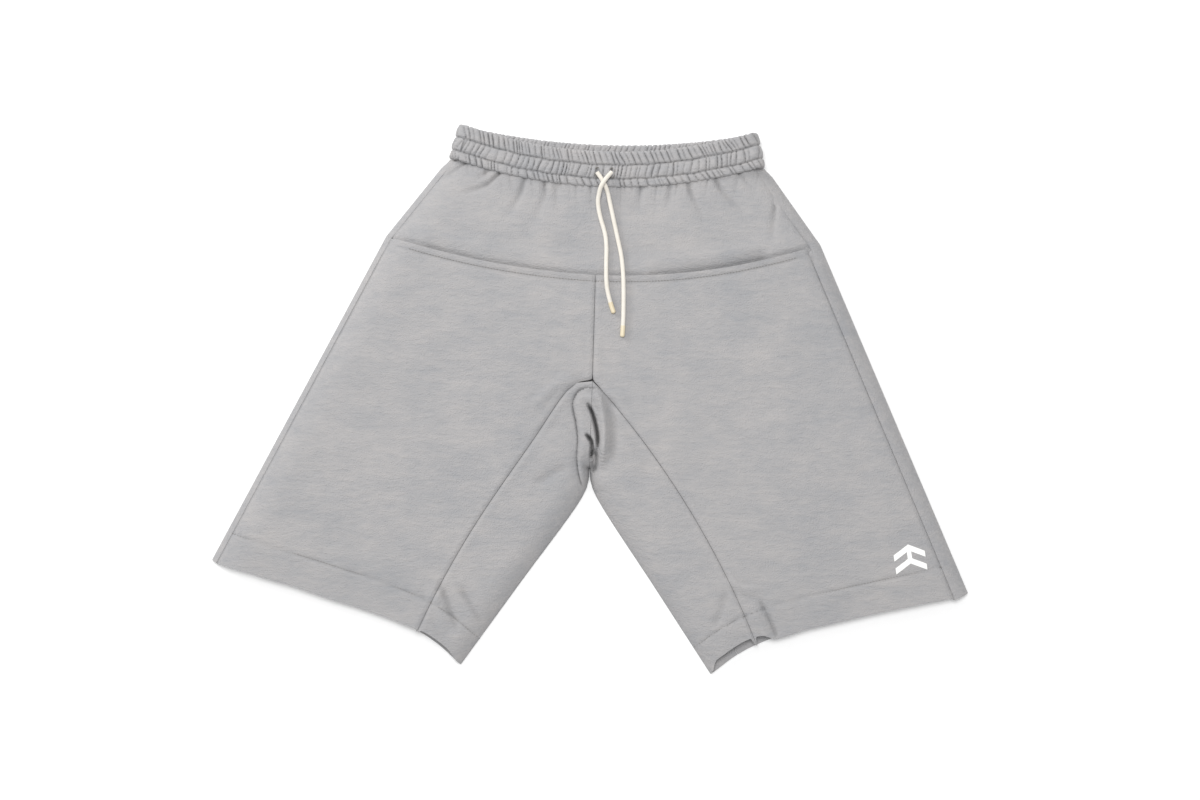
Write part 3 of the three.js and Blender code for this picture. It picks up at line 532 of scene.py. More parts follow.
# Creases that run down from the gathers, deepest where the band bunches the cloth most.
YOKE_CREASES = [
    (line((-132, 278), (-152, 264), (-176, 250), (-196, 240)), 3.0, 1.7),
    (line((-96, 266), (-116, 246), (-140, 238), (-160, 236)), 3.4, 1.7),
    (line((-73, 262), (-77, 240), (-88, 218), (-100, 200)), 3.0, 2.0),
    (line((-110, 268), (-122, 256), (-138, 250)), 2.2, 1.5),
    (line((-52, 258), (-52, 234), (-64, 204), (-84, 176)), 2.0, 2.6),
    (line((-34, 256), (-38, 228), (-34, 196)), 1.6, 2.6),
    (line((-148, 282), (-172, 262), (-196, 226), (-212, 196)), 2.0, 2.6),
    (line((62, 256), (58, 232), (44, 200)), 1.8, 2.6),
    (line((88, 258), (92, 238), (86, 210)), 2.4, 1.8),
    (line((110, 262), (114, 240), (126, 212), (134, 190)), 3.0, 1.9),
    (line((136, 268), (150, 240), (172, 214), (184, 192)), 3.0, 2.0),
    (line((162, 272), (178, 250), (196, 230)), 2.4, 1.7),
    (line((214, 236), (210, 206), (204, 166)), 2.6, 2.2),
]
YOKE_REST = 21.7
YOKE_AT_SEAM = 1.9


def yoke_height(x, y):
    above = y - seam_height_at(x)
    point, _ = band_point(BAND_FRONT_SAG, np.linspace(0, 1, 61))
    below_band = distance_to(x, y, point)
    run = (x - WAIST[0]) + WAIST_WIDTH / 2
    fan = run + 0.22 * below_band * (x - WAIST[0]) / 150
    z = YOKE_REST - 1.8 * ease((np.abs(x - 20) - 70) / 120)
    z = z + YOKE_AT_SEAM * ease((36 - above) / 26) - 1.9 * ease((7 - above) / 7)
    z = z - 2.4 * pocket_mouth(x) * ease((18 - above) / 18)
    z = z + 3.0 * puffs(fan, TUCKS) * np.exp(-below_band / 14)
    z = z + 1.6 * puffs(fan, ROW_GATHERS[0]) * np.exp(-below_band / 8)
    for points, depth, width in YOKE_CREASES:
        z = z + fold_run(x, y, points, -depth, width, (0.05, 0.9), 2.2)
    beside_cord = ease((np.abs(x - 25) - 25) / 40)
    return z + 0.9 * undulation(x, y) + 1.2 * beside_cord * swell(x + 0.3 * y, y, 40, 15)


# The crotch folds: how the slack cloth rolls together where the legs part. Each run has a height,
# below zero for a crease and above for a roll, and a width.
CROTCH_FOLDS = [
    (line((-3, -3), (3, -14), (7, -28), (9.5, -43), (9, -60)), -16.0, 1.8),
    (line((-5, -38), (2, -47), (3, -57), (1, -72)), -15.0, 1.8),
    (line((6, -54), (6, -68), (4, -86)), -12.0, 3.4),
    (line((-2, 10), (4, -4), (9, -24)), 2.4, 3.4),
    (line((3, 13), (11, 2), (16, -22), (17, -46), (14, -80)), 5.6, 5.2),
    (line((10, 15), (25, -6), (28, -38), (26, -76)), -2.4, 5.4),
    (line((-30, -20), (-60, -40), (-84, -60)), -1.2, 8),
    (line((-22, -74), (-40, -82), (-66, -98)), -1.6, 6),
    (line((28, -18), (54, -60), (70, -100)), -1.0, 9),
    (line((-14, 24), (-40, 16), (-70, -14)), 2.2, 7),
]
# Small folds over the hems, where the leg openings draw up.
HEM_PUCKERS = [
    (line((152, -204), (172, -214), (196, -218)), 1.8, 5.0),
    (line((192, -226), (204, -248), (217, -278)), -2.8, 3.4),
    (line((182, -240), (194, -256), (206, -280)), 1.8, 4.6),
    (line((140, -262), (150, -240), (154, -214)), -1.2, 6.0),
    (line((84, -228), (104, -258), (122, -296)), -1.5, 7.0),
    (line((-174, -204), (-163, -230), (-150, -272)), -2.2, 5.6),
    (line((-150, -208), (-137, -234), (-120, -262)), -1.8, 6.4),
    (line((-188, -210), (-174, -238), (-166, -270)), 1.4, 6.4),
]


ROLL_HEIGHT = 6.5
ROLL_EDGE_WIDTH = 9
ROLL_REACH = 24
ROLL_HOLLOW = 2.6
ROLL_BOTTOM = -110
ROLL_RUN = line(
    (-4, 13), (-13, 8), (-18.5, -5), (-15, -25), (-13, -44), (-14, -66), (-12, -84), (-7, -102)
)
ROLL_EDGE = spline(ROLL_RUN, 60)


def crotch_roll(x, y):
    """The slack cloth of the left leg rolls over: a steep edge with a hollow outside it."""
    d = distance_to(x, y, ROLL_EDGE)
    inside = (y < ROLL_EDGE[0, 1]) & (x > np.interp(y, ROLL_EDGE[::-1, 1], ROLL_EDGE[::-1, 0]))
    raised = ROLL_HEIGHT * quarter_round(d / ROLL_EDGE_WIDTH) * bell(d, ROLL_REACH)
    raised = raised * ease((ROLL_EDGE[0, 1] - y) / 11)
    hollow = -ROLL_HOLLOW * np.exp(-d / 13)
    return np.where(inside, raised, hollow) * ease((y - ROLL_BOTTOM) / 20)


HEM_DROP = 2.0
HEM_DROP_RUN = 60


def leg_height(x, y):
    z = LEG_TOP + (y - YOKE_CENTRE[1]) * LEG_SLOPE
    z = z + 0.9 * undulation(x, y) + crotch_roll(x, y)
    for points, height, width in CROTCH_FOLDS + HEM_PUCKERS:
        z = z + fold_run(x, y, points, height, width)
    to_hem = np.minimum(distance_to(x, y, LEG[-1]["hem"]), distance_to(x, y, LEG[1]["hem"]))
    return z - HEM_DROP * ease((HEM_DROP_RUN - to_hem) / HEM_DROP_RUN)


SEAM_DIP = 1.2
SEAM_WIDTH = 1.9


def seam_dip(x, y, *seams):
    """Cloth is drawn down where a seam joins it, and swells a little beside it."""
    z = np.zeros_like(x)
    for seam in seams:
        d = distance_to(x, y, seam)
        z = z - SEAM_DIP * bell(d, SEAM_WIDTH) + 0.3 * bell(d - 5, 3)
    return z


HEM_DEPTH = 37
STITCH_GROOVE = 1.4


def hem_fold(x, y, hem):
    """The turned hem is two layers thick, and its stitching pulls a line into it."""
    d = distance_to(x, y, hem)
    groove = -0.6 * bell(d - HEM_DEPTH, STITCH_GROOVE)
    ripple = 0.45 * swell(x, y, 17, 21) * bell(d - HEM_DEPTH, 12)
    return groove + ripple + 0.6 * ease((HEM_DEPTH - d) / 3)


print("front lies", round(float(leg_height(np.array([60.0]), np.array([0.0]))[0]), 1), "mm up")

# %% [markdown]
# ## Sewn panels
#
# A panel's outer face follows the height above, and the inner face lies a cloth's thickness under
# it. The grids are finest where the cloth bends.

# %% Front hems
# Near the inner leg the front's hem is drawn up, and the inside of the back shows past it.
HEM_REVEAL = {-1: (3.8, 96, 26, 50), 1: (10.5, 84, 16, 15)}


def front_hem(side):
    hem = LEG[side]["hem"]
    from_inner = np.linspace(HEM_OPENING, 0, len(hem))
    most, run, opening, closing = HEM_REVEAL[side]
    drawn = most * ease(from_inner / opening) * ease((run - from_inner) / closing)
    wavy = 0.9 * swell(from_inner, 0 * from_inner, 24, 81 + side) * ease(from_inner / 20)
    return offset(hem, (-side * (drawn + wavy))[:, None])


# %% Front panels
PANEL_PITCH = 2.6
CREASE_FULL = 2.4
YOKE_STITCHES = 7.0
pieces = {}


def spread(length, pitch=PANEL_PITCH):
    return np.linspace(0, 1, max(int(length / pitch), 4) + 1)


def front_panel(name, flat, height, reach=2):
    """A front panel over a flat grid. Its inner face follows its outer face's slope."""
    x, y = flat[..., 0], flat[..., 1]
    z = height(x, y) * rise(x, y)
    outer = with_height(flat, np.maximum(z, 0.1))
    normal = grid_normals(outer)
    normal *= np.where(normal[..., 2:3] < 0, -1, 1)
    inner = outer - FLEECE * normal
    inner[..., 2] = np.maximum(inner[..., 2], 0.05)
    piece = sheet_solid(name, outer, inner)
    # Painted shade: the colour is darkened where the outer face lies below the cloth round it.
    paint_crease_shade(piece, shut_in(outer[..., 2], reach, CREASE_FULL))
    print(name, len(piece.data.vertices), "points")
    return piece


def side_seam(side, start, end, count=24):
    fold = share_of(LEG[side]["side_fold"], start, end, count)
    return offset(fold, -side * (WRAP[side] + SEAM_GAP))


left_edge = side_seam(-1, 0, YOKE_SHARE - 0.01)
right_edge = side_seam(1, 0, YOKE_SHARE - 0.01)
seam_run = np.concatenate([LEG[-1]["yoke_seam"][1:-1][::-1], LEG[1]["yoke_seam"][:-1]])
tuck_under = np.sin(np.pi * (np.arange(len(seam_run)) + 1) / (len(seam_run) + 1)) ** 0.5
lowered = seam_run - np.stack([0 * tuck_under, YOKE_ALLOWANCE * tuck_under], 1)
top_edge = band_edge(BAND_FRONT_SAG, 0.0, 1.0, -2.0)
yoke_top = evenly(np.concatenate([left_edge[:1], top_edge, right_edge[:1]]), 80)
yoke_bottom = evenly(np.concatenate([left_edge[-1:], lowered, right_edge[-1:]]), 80)
yoke_flat = patch(yoke_top, yoke_bottom, left_edge, right_edge, spread(480, 1.6), spread(115, 2))
pieces["front_yoke"] = front_panel("yoke_panel", yoke_flat, yoke_height, 3)

for word, side in SIDES.items():
    leg = LEG[side]
    outer_edge = side_seam(side, YOKE_SHARE, 1)
    centre = straight([CENTRE_X, YOKE_CENTRE[1]], APEX, 10)
    inner_edge = offset(np.concatenate([centre, leg["gusset_seam"][1:]]), side * SEAM_GAP / 2)
    inner_edge = evenly(inner_edge, 60)
    start, end = (WRAP[side] + 2) / HEM_OPENING, 1 - (GUSSET_HEM + 2) / HEM_OPENING
    hem = share_of(front_hem(side), start, end)
    top = evenly(np.concatenate([outer_edge[:1], leg["yoke_seam"][1:-2][::-1], inner_edge[:1]]), 60)
    bottom = evenly(np.concatenate([outer_edge[-1:], hem, inner_edge[-1:]]), 60)
    flat = patch(top, bottom, outer_edge, inner_edge, spread(270), spread(430))

    def front_leg_height(x, y, side=side, leg=leg):
        seams = [leg["gusset_seam"], straight(YOKE_CENTRE, APEX), side_seam(side, YOKE_SHARE, 1)]
        z = leg_height(x, y) + seam_dip(x, y, *seams) + hem_fold(x, y, leg["hem"])
        to_mouth = distance_to(x, y, leg["yoke_seam"])
        z = z - 0.7 * bell(to_mouth - YOKE_STITCHES, STITCH_GROOVE)
        return z + 0.5 * ease((6 - to_mouth) / 4)

    name = f"front_leg_{word}"
    pieces[name] = front_panel(f"front_leg_panel_{word}", flat, front_leg_height)

# %% Gusset fronts and backs, and the back panels
BACK_SEAM_WIDTH = 2.4
BACK_HEM_GROOVE = 0.6
YOKE_SIDE_TOP = 17.1


def back_relief(x, y, leg):
    """How far the downward face lifts off the table, at seams, hem stitches and swells."""
    centre = straight([CENTRE_X, WAIST[1]], BACK_APEX, 4)
    to_seam = np.minimum(distance_to(x, y, leg["back_seam"]), distance_to(x, y, centre))
    to_stitches = distance_to(x, y, leg["hem"]) - HEM_DEPTH
    lifted = 0.2 + 0.15 * swell(x, y, 45, 17) + 0.7 * bell(to_seam, BACK_SEAM_WIDTH)
    return lifted + BACK_HEM_GROOVE * bell(to_stitches, 2.0)


def back_panel(name, flat, leg, extra=None):
    """A panel that lies on the table. Its outer face is down and its edges turn up."""
    x, y = flat[..., 0], flat[..., 1]
    low = back_relief(x, y, leg)
    low[:, -1] = low[:, -1] * 0.5
    # Painted shade: the colour is darkened where the downward face lifts off the table, at seams and
    # hem stitches.
    painted_shade = np.clip((low - 0.3) / 0.9, 0, 1)
    high = FLEECE + 0.12 * swell(x, y, 30, 13)
    if extra is not None:
        low[-1] = 0
    outer, inner = with_height(flat, low), with_height(flat, high)
    if extra is not None:
        outer, inner = np.concatenate([outer, extra[0]]), np.concatenate([inner, extra[1]])
    piece = sheet_solid(name, outer, inner)
    paint_crease_shade(piece, painted_shade)
    return piece


def wrap_rows(side, fold, corner_y, steps=9):
    """The strip of the back panel that turns up round the side fold."""
    inward = leftward(tangents(fold)) * -side
    leg_here = LEG_TOP + (fold[:, 1] - YOKE_CENTRE[1]) * LEG_SLOPE
    blend = ease((corner_y - fold[:, 1]) / 25)
    top = YOKE_SIDE_TOP + 2.6 * (1 - blend) + (leg_here - YOKE_SIDE_TOP) * blend
    last = math.acos(1 - WRAP[side] / SIDE_ROUND)
    outer, inner = [], []
    for k in range(1, steps + 1):
        turn = last * k / steps
        across = SIDE_ROUND * (1 - math.cos(turn))
        normal = np.stack([np.full_like(top, math.cos(turn) / SIDE_ROUND), math.sin(turn) / top], 1)
        normal /= np.linalg.norm(normal, axis=1, keepdims=True)
        z = top * math.sin(turn) - 0.9 * math.exp(-(((last - turn) * SIDE_ROUND / 5) ** 2))
        outer.append(with_height(fold + inward * across, z))
        under = fold + inward * (across + normal[:, :1] * FLEECE)
        inner.append(with_height(under, np.maximum(z - normal[:, 1] * FLEECE, FLEECE)))
    return np.array(outer), np.array(inner)


for word, side in SIDES.items():
    leg = LEG[side]
    middle = 0.5 + (CENTRE_X + side * SEAM_GAP / 2 - WAIST[0]) / (WAIST_WIDTH - 25)
    end = 0.0 if side < 0 else 1.0
    band = band_edge(BAND_BACK_SAG, middle, end + (middle - end) * 0.01, SEAM_GAP)
    upward = leg["side_fold"][0] - leg["side_fold"][1]
    tucked_in = leg["side_fold"][0] + 5 * upward / np.linalg.norm(upward) - [side * 4, 0]
    fold = np.concatenate([[tucked_in], leg["side_fold"][1:]])
    seam = offset(leg["back_seam"], side * SEAM_GAP / 2)
    inner_edge = evenly(np.concatenate([band[:1], [[band[0][0], seam[0][1] + 2]], seam]), 60)
    hem = share_of(leg["hem"], 1 - GUSSET_BACK / HEM_OPENING - 0.002, 0)
    band_run = evenly(np.concatenate([band, fold[:1]]), 60)
    v = spread(520, 2.6)
    flat = patch(band_run, hem, inner_edge, fold, spread(280, 2.4), v)
    corner_y = leg["side_fold"][HIP_STEPS][1]
    wraps = wrap_rows(side, along(fold, v), corner_y)
    name = f"back_leg_{word}"
    pieces[name] = back_panel(f"back_leg_panel_{word}", flat, leg, wraps)

    shift = np.array([side * SEAM_GAP / 2, 0])
    seam = offset(leg["gusset_seam"], -side * SEAM_GAP / 2)
    seam[0] = APEX + 0.02 * (CROTCH - APEX) + shift
    centre = straight(seam[0], CROTCH + shift)
    inner_fold = evenly(np.concatenate([[CROTCH + shift], leg["inner_fold"][1:]]), 60)
    hem = share_of(front_hem(side), 1 - (GUSSET_HEM - SEAM_GAP) / HEM_OPENING, 1)
    bottom = evenly(np.concatenate([seam[-1:], hem[1:]]), 40)
    flat = patch(centre, bottom, seam, inner_fold, spread(102, 1.1), spread(330, 1.4) ** 1.5)

    def gusset_height(x, y, leg=leg):
        return leg_height(x, y) + seam_dip(x, y, leg["gusset_seam"]) + hem_fold(x, y, leg["hem"])

    gusset = front_panel(f"gusset_front_{word}", flat, gusset_height, 5)
    back_top = BACK_APEX + 0.02 * (CROTCH - BACK_APEX) + shift
    back_seam = offset(leg["back_seam"], -side * SEAM_GAP / 2)
    back_seam[0] = back_top
    back_hem = share_of(leg["hem"], 1 - (GUSSET_BACK - SEAM_GAP) / HEM_OPENING, 1)
    back_centre = straight(back_top, CROTCH + shift)
    flat = patch(back_centre, back_hem, back_seam, inner_fold, spread(60, 2), spread(330, 2.4))
    gusset_back = back_panel(f"gusset_back_{word}", flat, leg)
    pieces[f"gusset_{word}"] = gusset
    pieces[f"gusset_back_{word}"] = gusset_back
print(len(pieces), "panels")

# %% [markdown]
# ## Gathered waistband
#
# The real band is a tube of fleece sewn over stretched elastic in rows, and the cloth bunches as
# the elastic pulls in. Each row has its own puffs between sharp creases, so the band is one ring
# with a rounded section whose outer and inner faces are pushed in and out by those gathers.

# %% Stations round the band
BAND_FRONT_Z = BAND_THICKNESS + WAIST_CAVITY + BAND_THICKNESS / 2
BAND_BACK_Z = BAND_THICKNESS / 2
TURN_RADIUS = (BAND_FRONT_Z - BAND_BACK_Z) / 2


def band_stations(pitch=0.8):
    """Origins, outward and upward directions round the band, and how far along each lies."""
    origin, out, upward = [], [], []
    count = int(WAIST_WIDTH / pitch)
    for sag, z, shares, facing in (
        (BAND_FRONT_SAG, BAND_FRONT_Z, np.linspace(0, 1, count), 1),
        (BAND_BACK_SAG, BAND_BACK_Z, np.linspace(1, 0, count), -1),
    ):
        point, up = band_point(sag, shares)
        origin.append(np.concatenate([point, np.full((count, 1), z)], axis=1))
        out.append(np.tile([0, 0, facing], (count, 1)))
        upward.append(np.concatenate([up, np.zeros((count, 1))], axis=1))
        share = float(shares[-1])
        front_point, front_up = band_point(BAND_FRONT_SAG, share)
        back_point, back_up = band_point(BAND_BACK_SAG, share)
        angles = np.linspace(0, math.pi, 26)[1:-1]
        if facing < 0:
            angles = angles[::-1]
        side = 1 if share > 0.5 else -1
        for angle in angles:
            w = angle / math.pi
            up2 = front_up * (1 - w) + back_up * w
            up2 = up2 / np.linalg.norm(up2)
            sideways = side * math.sin(angle)
            away = [up2[1] * sideways, -up2[0] * sideways, math.cos(angle)]
            middle = np.array([*front_point, (BAND_FRONT_Z + BAND_BACK_Z) / 2])
            origin.append([middle + TURN_RADIUS * np.array(away)])
            out.append([away])
            upward.append([[up2[0], up2[1], 0]])
    origin, out, upward = (np.concatenate(part).astype(float) for part in (origin, out, upward))
    steps = np.linalg.norm(np.diff(origin, axis=0), axis=1)
    return origin, out, upward, np.concatenate([[0], np.cumsum(steps)])


# %% Section of the band
HALF_BODY = 4.1
SECTION_STEPS = 44
CORD_ROW = 16.5
HOLE_PLACES = (8.5, 25.5)
HOLE_HALF = (2.7, 4.6)
EYELETS = []
radius, reach, _ = band_arc(BAND_FRONT_SAG)
for x in HOLE_PLACES:
    point, up = band_point(BAND_FRONT_SAG, 0.5 + math.asin((x - WAIST[0]) / radius) / (2 * reach))
    EYELETS.append(point + CORD_ROW * up)


def band_depth(s, h):
    """How far the gathered face stands from the middle of the band."""
    depth = np.full_like(s, HALF_BODY)
    cord_bulge = 0.7 * bell(h - CORD_ROW, 3.0)
    edges = (-1.0, *ROW_LINES, BAND_HEIGHT + 1.0)
    for k, gathers in enumerate(ROW_GATHERS):
        low, high = edges[k], edges[k + 1]
        inside = ((h >= low) & (h < high)).astype(float)
        q = np.clip((h - low) / (high - low), 0, 1)
        slant = (0.35, -0.25, 0.4)[k] * (h - low)
        wander = 1.6 * swell(s, h, 14, 51 + k)
        crown = np.clip(4 * q * (1 - q), 0, 1) ** 0.5
        fold = puffs(s + slant + wander, gathers) * (0.45 + 0.55 * crown)
        depth += inside * (1.1 * crown + 4.6 * fold - 0.6)
    for row in ROW_LINES:
        wavy = row + 0.9 * swell(s, 0 * s, 13, 61)
        depth -= 1.7 * bell(h - wavy, 1.2)
    least = 1.2 + 1.4 * bell(h - CORD_ROW, 3.5)
    return np.maximum(depth + cord_bulge, least)


CASING_WALL = 0.8
INSIDE_LEAST = 3.2


def casing_skin(origin, out, upward, travelled, inset):
    """One skin of the casing's tube, `inset` under its outer face: rings of points and painted
    crease shade.
    """
    heights = np.linspace(0, BAND_HEIGHT, SECTION_STEPS)
    S, H = np.meshgrid(travelled, heights, indexing="ij")
    ruffle = 2.0 * puffs(S, ROW_GATHERS[2]) * ease((H - 30) / 11)
    ruffle = ruffle - 1.6 * puffs(S, ROW_GATHERS[0]) * ease((8 - H) / 8)
    closing = np.minimum(H + 0.4, BAND_HEIGHT - H + 0.4)
    round_off = quarter_round(closing / 3.2, 0.02)
    outside = band_depth(S, H)
    inner_face = band_depth(S + 5, H)
    inside = INSIDE_LEAST + 0.7 * (inner_face - inner_face.min())
    rings = np.zeros((len(origin), 2 * SECTION_STEPS, 3))
    squeeze = (BAND_HEIGHT - 2 * inset) / BAND_HEIGHT
    for j in range(SECTION_STEPS):
        lift = (inset + (H[:, j] + ruffle[:, j]) * squeeze)[:, None]
        near = np.maximum(outside[:, j] * round_off[:, j] - inset, 0.15)[:, None]
        far = np.maximum(inside[:, j] * round_off[:, j] - inset, 0.15)[:, None]
        rings[:, j] = origin + out * near + upward * lift
        rings[:, 2 * SECTION_STEPS - 1 - j] = origin - out * far + upward * lift
    for centre in EYELETS:
        across, up = (rings[..., k] - centre[k] for k in range(2))
        d = np.hypot(across / HOLE_HALF[0], up / HOLE_HALF[1])
        on_front = rings[..., 2] > BAND_FRONT_Z
        rings[..., 2] -= np.where(on_front, 2.6 * ease((1.1 - d) / 0.35), 0)
    rings[..., 2] = np.maximum(rings[..., 2], inset)
    # Painted shade: the creases of the gathers on both faces are darkened.
    painted_shade = [shut_in(face, 3, 2.2) for face in (outside, inside)]
    return rings, np.concatenate([painted_shade[0], painted_shade[1][:, ::-1]], axis=1)


def ring_faces(count, ring, first=0, order=(0, 1, 2, 3), closed=True):
    """Faces between neighbouring rings of points. The order of their corners sets their front."""
    faces = []
    for i in range(count if closed else count - 1):
        a, b = first + i * ring, first + ((i + 1) % count) * ring
        for j in range(ring):
            k = (j + 1) % ring
            corners = (a + j, a + k, b + k, b + j)
            faces.append(tuple(corners[c] for c in order))
    return faces


TURNED_OVER = (3, 2, 1, 0)
TUBE_ORDER = (0, 3, 2, 1)

stations = band_stations()
count = len(stations[0])
ring = 2 * SECTION_STEPS
outer_skin, painted_shade = casing_skin(*stations, 0)
inner_skin, _ = casing_skin(*stations, CASING_WALL)
faces = ring_faces(count, ring) + ring_faces(count, ring, count * ring, TURNED_OVER)
casing = new_piece("gathered_waistband", to_metres(np.concatenate([outer_skin, inner_skin])), faces)
paint_crease_shade(casing, painted_shade)
pieces["waistband_casing"] = casing
print("waistband has", count, "stations and", len(faces), "faces")

# %% Elastic and hidden cord, inside the casing
ELASTIC_MIDDLE = -1.9
ELASTIC_HALF = 0.35
origin, out, upward, travelled = band_stations(2.5)
heights = np.linspace(3, BAND_HEIGHT - 3, 16)
weave = 0.1 * np.sin(2 * math.pi * travelled / 5)[:, None]
near, far = (
    origin[:, None] + out[:, None] * (depth + weave)[..., None] + upward[:, None] * heights[:, None]
    for depth in (ELASTIC_MIDDLE + ELASTIC_HALF, ELASTIC_MIDDLE - ELASTIC_HALF)
)
rings = np.concatenate([near, far[:, ::-1]], axis=1)
elastic = new_piece("elastic_strip", to_metres(rings), ring_faces(*rings.shape[:2]))
pieces["waist_elastic"] = elastic

# %% [markdown]
# ## Drawcord
#
# The cord is a tube of knitted cotton with fine lengthwise ribs, and its ends are dipped so that
# they don't fray.

# %% Cord routes in metres from the garment's datum, from the hole to the tip
RIGHT_HOLE_ROUTE = [
    (0.0253, 0.2585, 0.0281), (0.0225, 0.2553, 0.0297), (0.0196, 0.2518, 0.0320),
    (0.0168, 0.2480, 0.0336), (0.0142, 0.2438, 0.0333), (0.0122, 0.2390, 0.0314),
    (0.0108, 0.2330, 0.0289), (0.0098, 0.2260, 0.0269), (0.0107, 0.2160, 0.0255),
    (0.0132, 0.2050, 0.0249), (0.0162, 0.1950, 0.0248), (0.0186, 0.1840, 0.0249),
    (0.0194, 0.1720, 0.0254), (0.0192, 0.1600, 0.0262), (0.0191, 0.1490, 0.0272),
    (0.0192, 0.1380, 0.0280), (0.0201, 0.1270, 0.0278), (0.0224, 0.1160, 0.0276),
    (0.0252, 0.1060, 0.0274), (0.0280, 0.0980, 0.0273),
]
LEFT_HOLE_ROUTE = [
    (0.0086, 0.2585, 0.0281), (0.0115, 0.2546, 0.0281), (0.0144, 0.2502, 0.0281),
    (0.0170, 0.2455, 0.0280), (0.0192, 0.2405, 0.0276), (0.0212, 0.2340, 0.0269),
    (0.0234, 0.2240, 0.0258), (0.0258, 0.2130, 0.0251), (0.0284, 0.2010, 0.0248),
    (0.0308, 0.1900, 0.0248), (0.0334, 0.1780, 0.0251), (0.0359, 0.1660, 0.0258),
    (0.0375, 0.1540, 0.0268), (0.0384, 0.1420, 0.0278), (0.0388, 0.1300, 0.0280),
    (0.0389, 0.1180, 0.0277), (0.0388, 0.1060, 0.0274), (0.0386, 0.0940, 0.0272),
    (0.0381, 0.0820, 0.0270), (0.0373, 0.0710, 0.0267),
]
CORD_DIAMETER = 0.005
TIP_LENGTH = 0.013
TIP_DIAMETER = 0.0054
CORD_RIBS = 9


def tube(name, route, radius, body=None, ribs=0, sides=36, rounded=False):
    """A tube along a route in metres, with lengthwise ribs and closed ends."""
    t = tangents(route)
    first = np.cross(t, [0, 0, 1])
    first /= np.linalg.norm(first, axis=1, keepdims=True)
    second = np.cross(t, first)
    turn = np.linspace(0, 2 * math.pi, sides, endpoint=False)
    shape = 1 - 0.05 * (1 - np.abs(np.cos(ribs * turn / 2))) if ribs else np.ones(sides)
    size = np.full(len(route), radius)
    if rounded:
        size = radius * quarter_round((1 - np.linspace(0, 1, len(route))) / 0.16, 0.03)
    across, along_second = (size[:, None] * shape * wave(turn) for wave in (np.cos, np.sin))
    ring_points = route[:, None, :] + across[..., None] * first[:, None, :]
    ring_points = ring_points + along_second[..., None] * second[:, None, :]
    count = len(route)
    faces = ring_faces(count, sides, 0, TUBE_ORDER, closed=False)
    faces.append(tuple(range(sides)))
    faces.append(tuple((count - 1) * sides + j for j in reversed(range(sides))))
    return new_piece(name, ring_points, faces, body)


# The hidden run lies in the band between the elastic and the gathered face.
HIDDEN_RADIUS = 0.0014
origin, out, upward, travelled = band_stations(4)
run = origin + upward * CORD_ROW
front_run = run[: len(run) // 2, :2]
first, last = (int(np.argmin(np.hypot(*(front_run - hole).T))) for hole in EYELETS)
hidden_route = to_metres(np.concatenate([run[last:], run[: first + 1]]))
hidden_cord = tube("hidden_cord", hidden_route, HIDDEN_RADIUS, "shorts", 0, 12)
pieces["drawcord_channel_run"] = hidden_cord

for word, route in (("left", RIGHT_HOLE_ROUTE), ("right", LEFT_HOLE_ROUTE)):
    knots = np.array(route) + [*(DATUM * MM), 0]
    smooth = spline(knots, 400)
    length = float(np.sum(np.linalg.norm(np.diff(smooth, axis=0), axis=1)))
    cut = 1 - TIP_LENGTH / length
    body_run = along(smooth, np.linspace(0, cut, 260))
    tip_run = along(smooth, np.linspace(cut - 0.002, 1, 40))
    body = f"cord_end_{word}"
    cord = tube(f"cord_{word}", body_run, CORD_DIAMETER / 2, None, CORD_RIBS)
    tip = tube(f"dipped_tip_{word}", tip_run, TIP_DIAMETER / 2, body, 0, 28, True)
    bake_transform(cord)
    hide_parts(f"drawcord_tail_{word}")
    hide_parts(f"cord_tip_{word}")
    finish_with(cord, "drawcord")
    finish_with(tip, "cord_tip")

# %% [markdown]
# ## Stitching
#
# Rows of lockstitch are what make cloth look sewn. Each stitch is a short bead of thread, sunk
# halfway into the surface that it holds down.

# %% Rows of stitches
STITCH_PITCH = 3.4
STITCH_LENGTH = 2.5
THREAD_RADIUS = 0.3


def stitched(name, runs, height):
    """Beads of thread along flat runs of lines, at this height above the table."""
    points, faces = [], []
    for run in runs:
        total = np.sum(np.linalg.norm(np.diff(run, axis=0), axis=1))
        at = evenly(run, max(int(total / STITCH_PITCH), 2))
        direction = tangents(at)
        z = height(at[:, 0], at[:, 1])
        for p, t, up in zip(at, direction, z):
            side = np.array([-t[1], t[0]])
            first = len(points)
            for along_it, size in ((-0.5, 0.35), (-0.3, 1), (0.3, 1), (0.5, 0.35)):
                for k in range(6):
                    turn = math.pi * k / 3
                    sideways = side * size * THREAD_RADIUS * math.cos(turn)
                    flat = p + t * along_it * STITCH_LENGTH + sideways
                    points.append((*flat, up + size * THREAD_RADIUS * math.sin(turn)))
            faces += ring_faces(4, 6, first, closed=False)
            faces.append(tuple(first + k for k in reversed(range(6))))
            faces.append(tuple(first + 18 + k for k in range(6)))
    return new_piece(name, to_metres(np.array(points)), faces)


def on_leg(side):
    leg = LEG[side]

    def height(x, y):
        z = leg_height(x, y) + hem_fold(x, y, leg["hem"])
        return z * rise(x, y) + 0.05

    return height


def on_back(x, y):
    return np.full_like(x, BACK_HEM_GROOVE)


stitching = []
for word, side in SIDES.items():
    leg = LEG[side]
    start = (WRAP[side] + 8) / HEM_OPENING
    run = share_of(leg["hem"], start, 0.985, 60)
    toward_waist = offset(run, HEM_DEPTH)
    if toward_waist[:, 1].mean() < run[:, 1].mean():
        toward_waist = offset(run, -HEM_DEPTH)
    below_seam = leg["yoke_seam"][:-3] - [0, YOKE_STITCHES]
    for where, row, height in (
        ("hem", toward_waist, on_leg(side)),
        ("yoke", below_seam, on_leg(side)),
        ("back_hem", toward_waist, on_back),
    ):
        stitching.append(stitched(f"{where}_stitching_{word}", [row], height))
for piece in stitching:
    finish_with(piece, "thread")
print(sum(len(piece.data.polygons) for piece in stitching), "faces of thread")

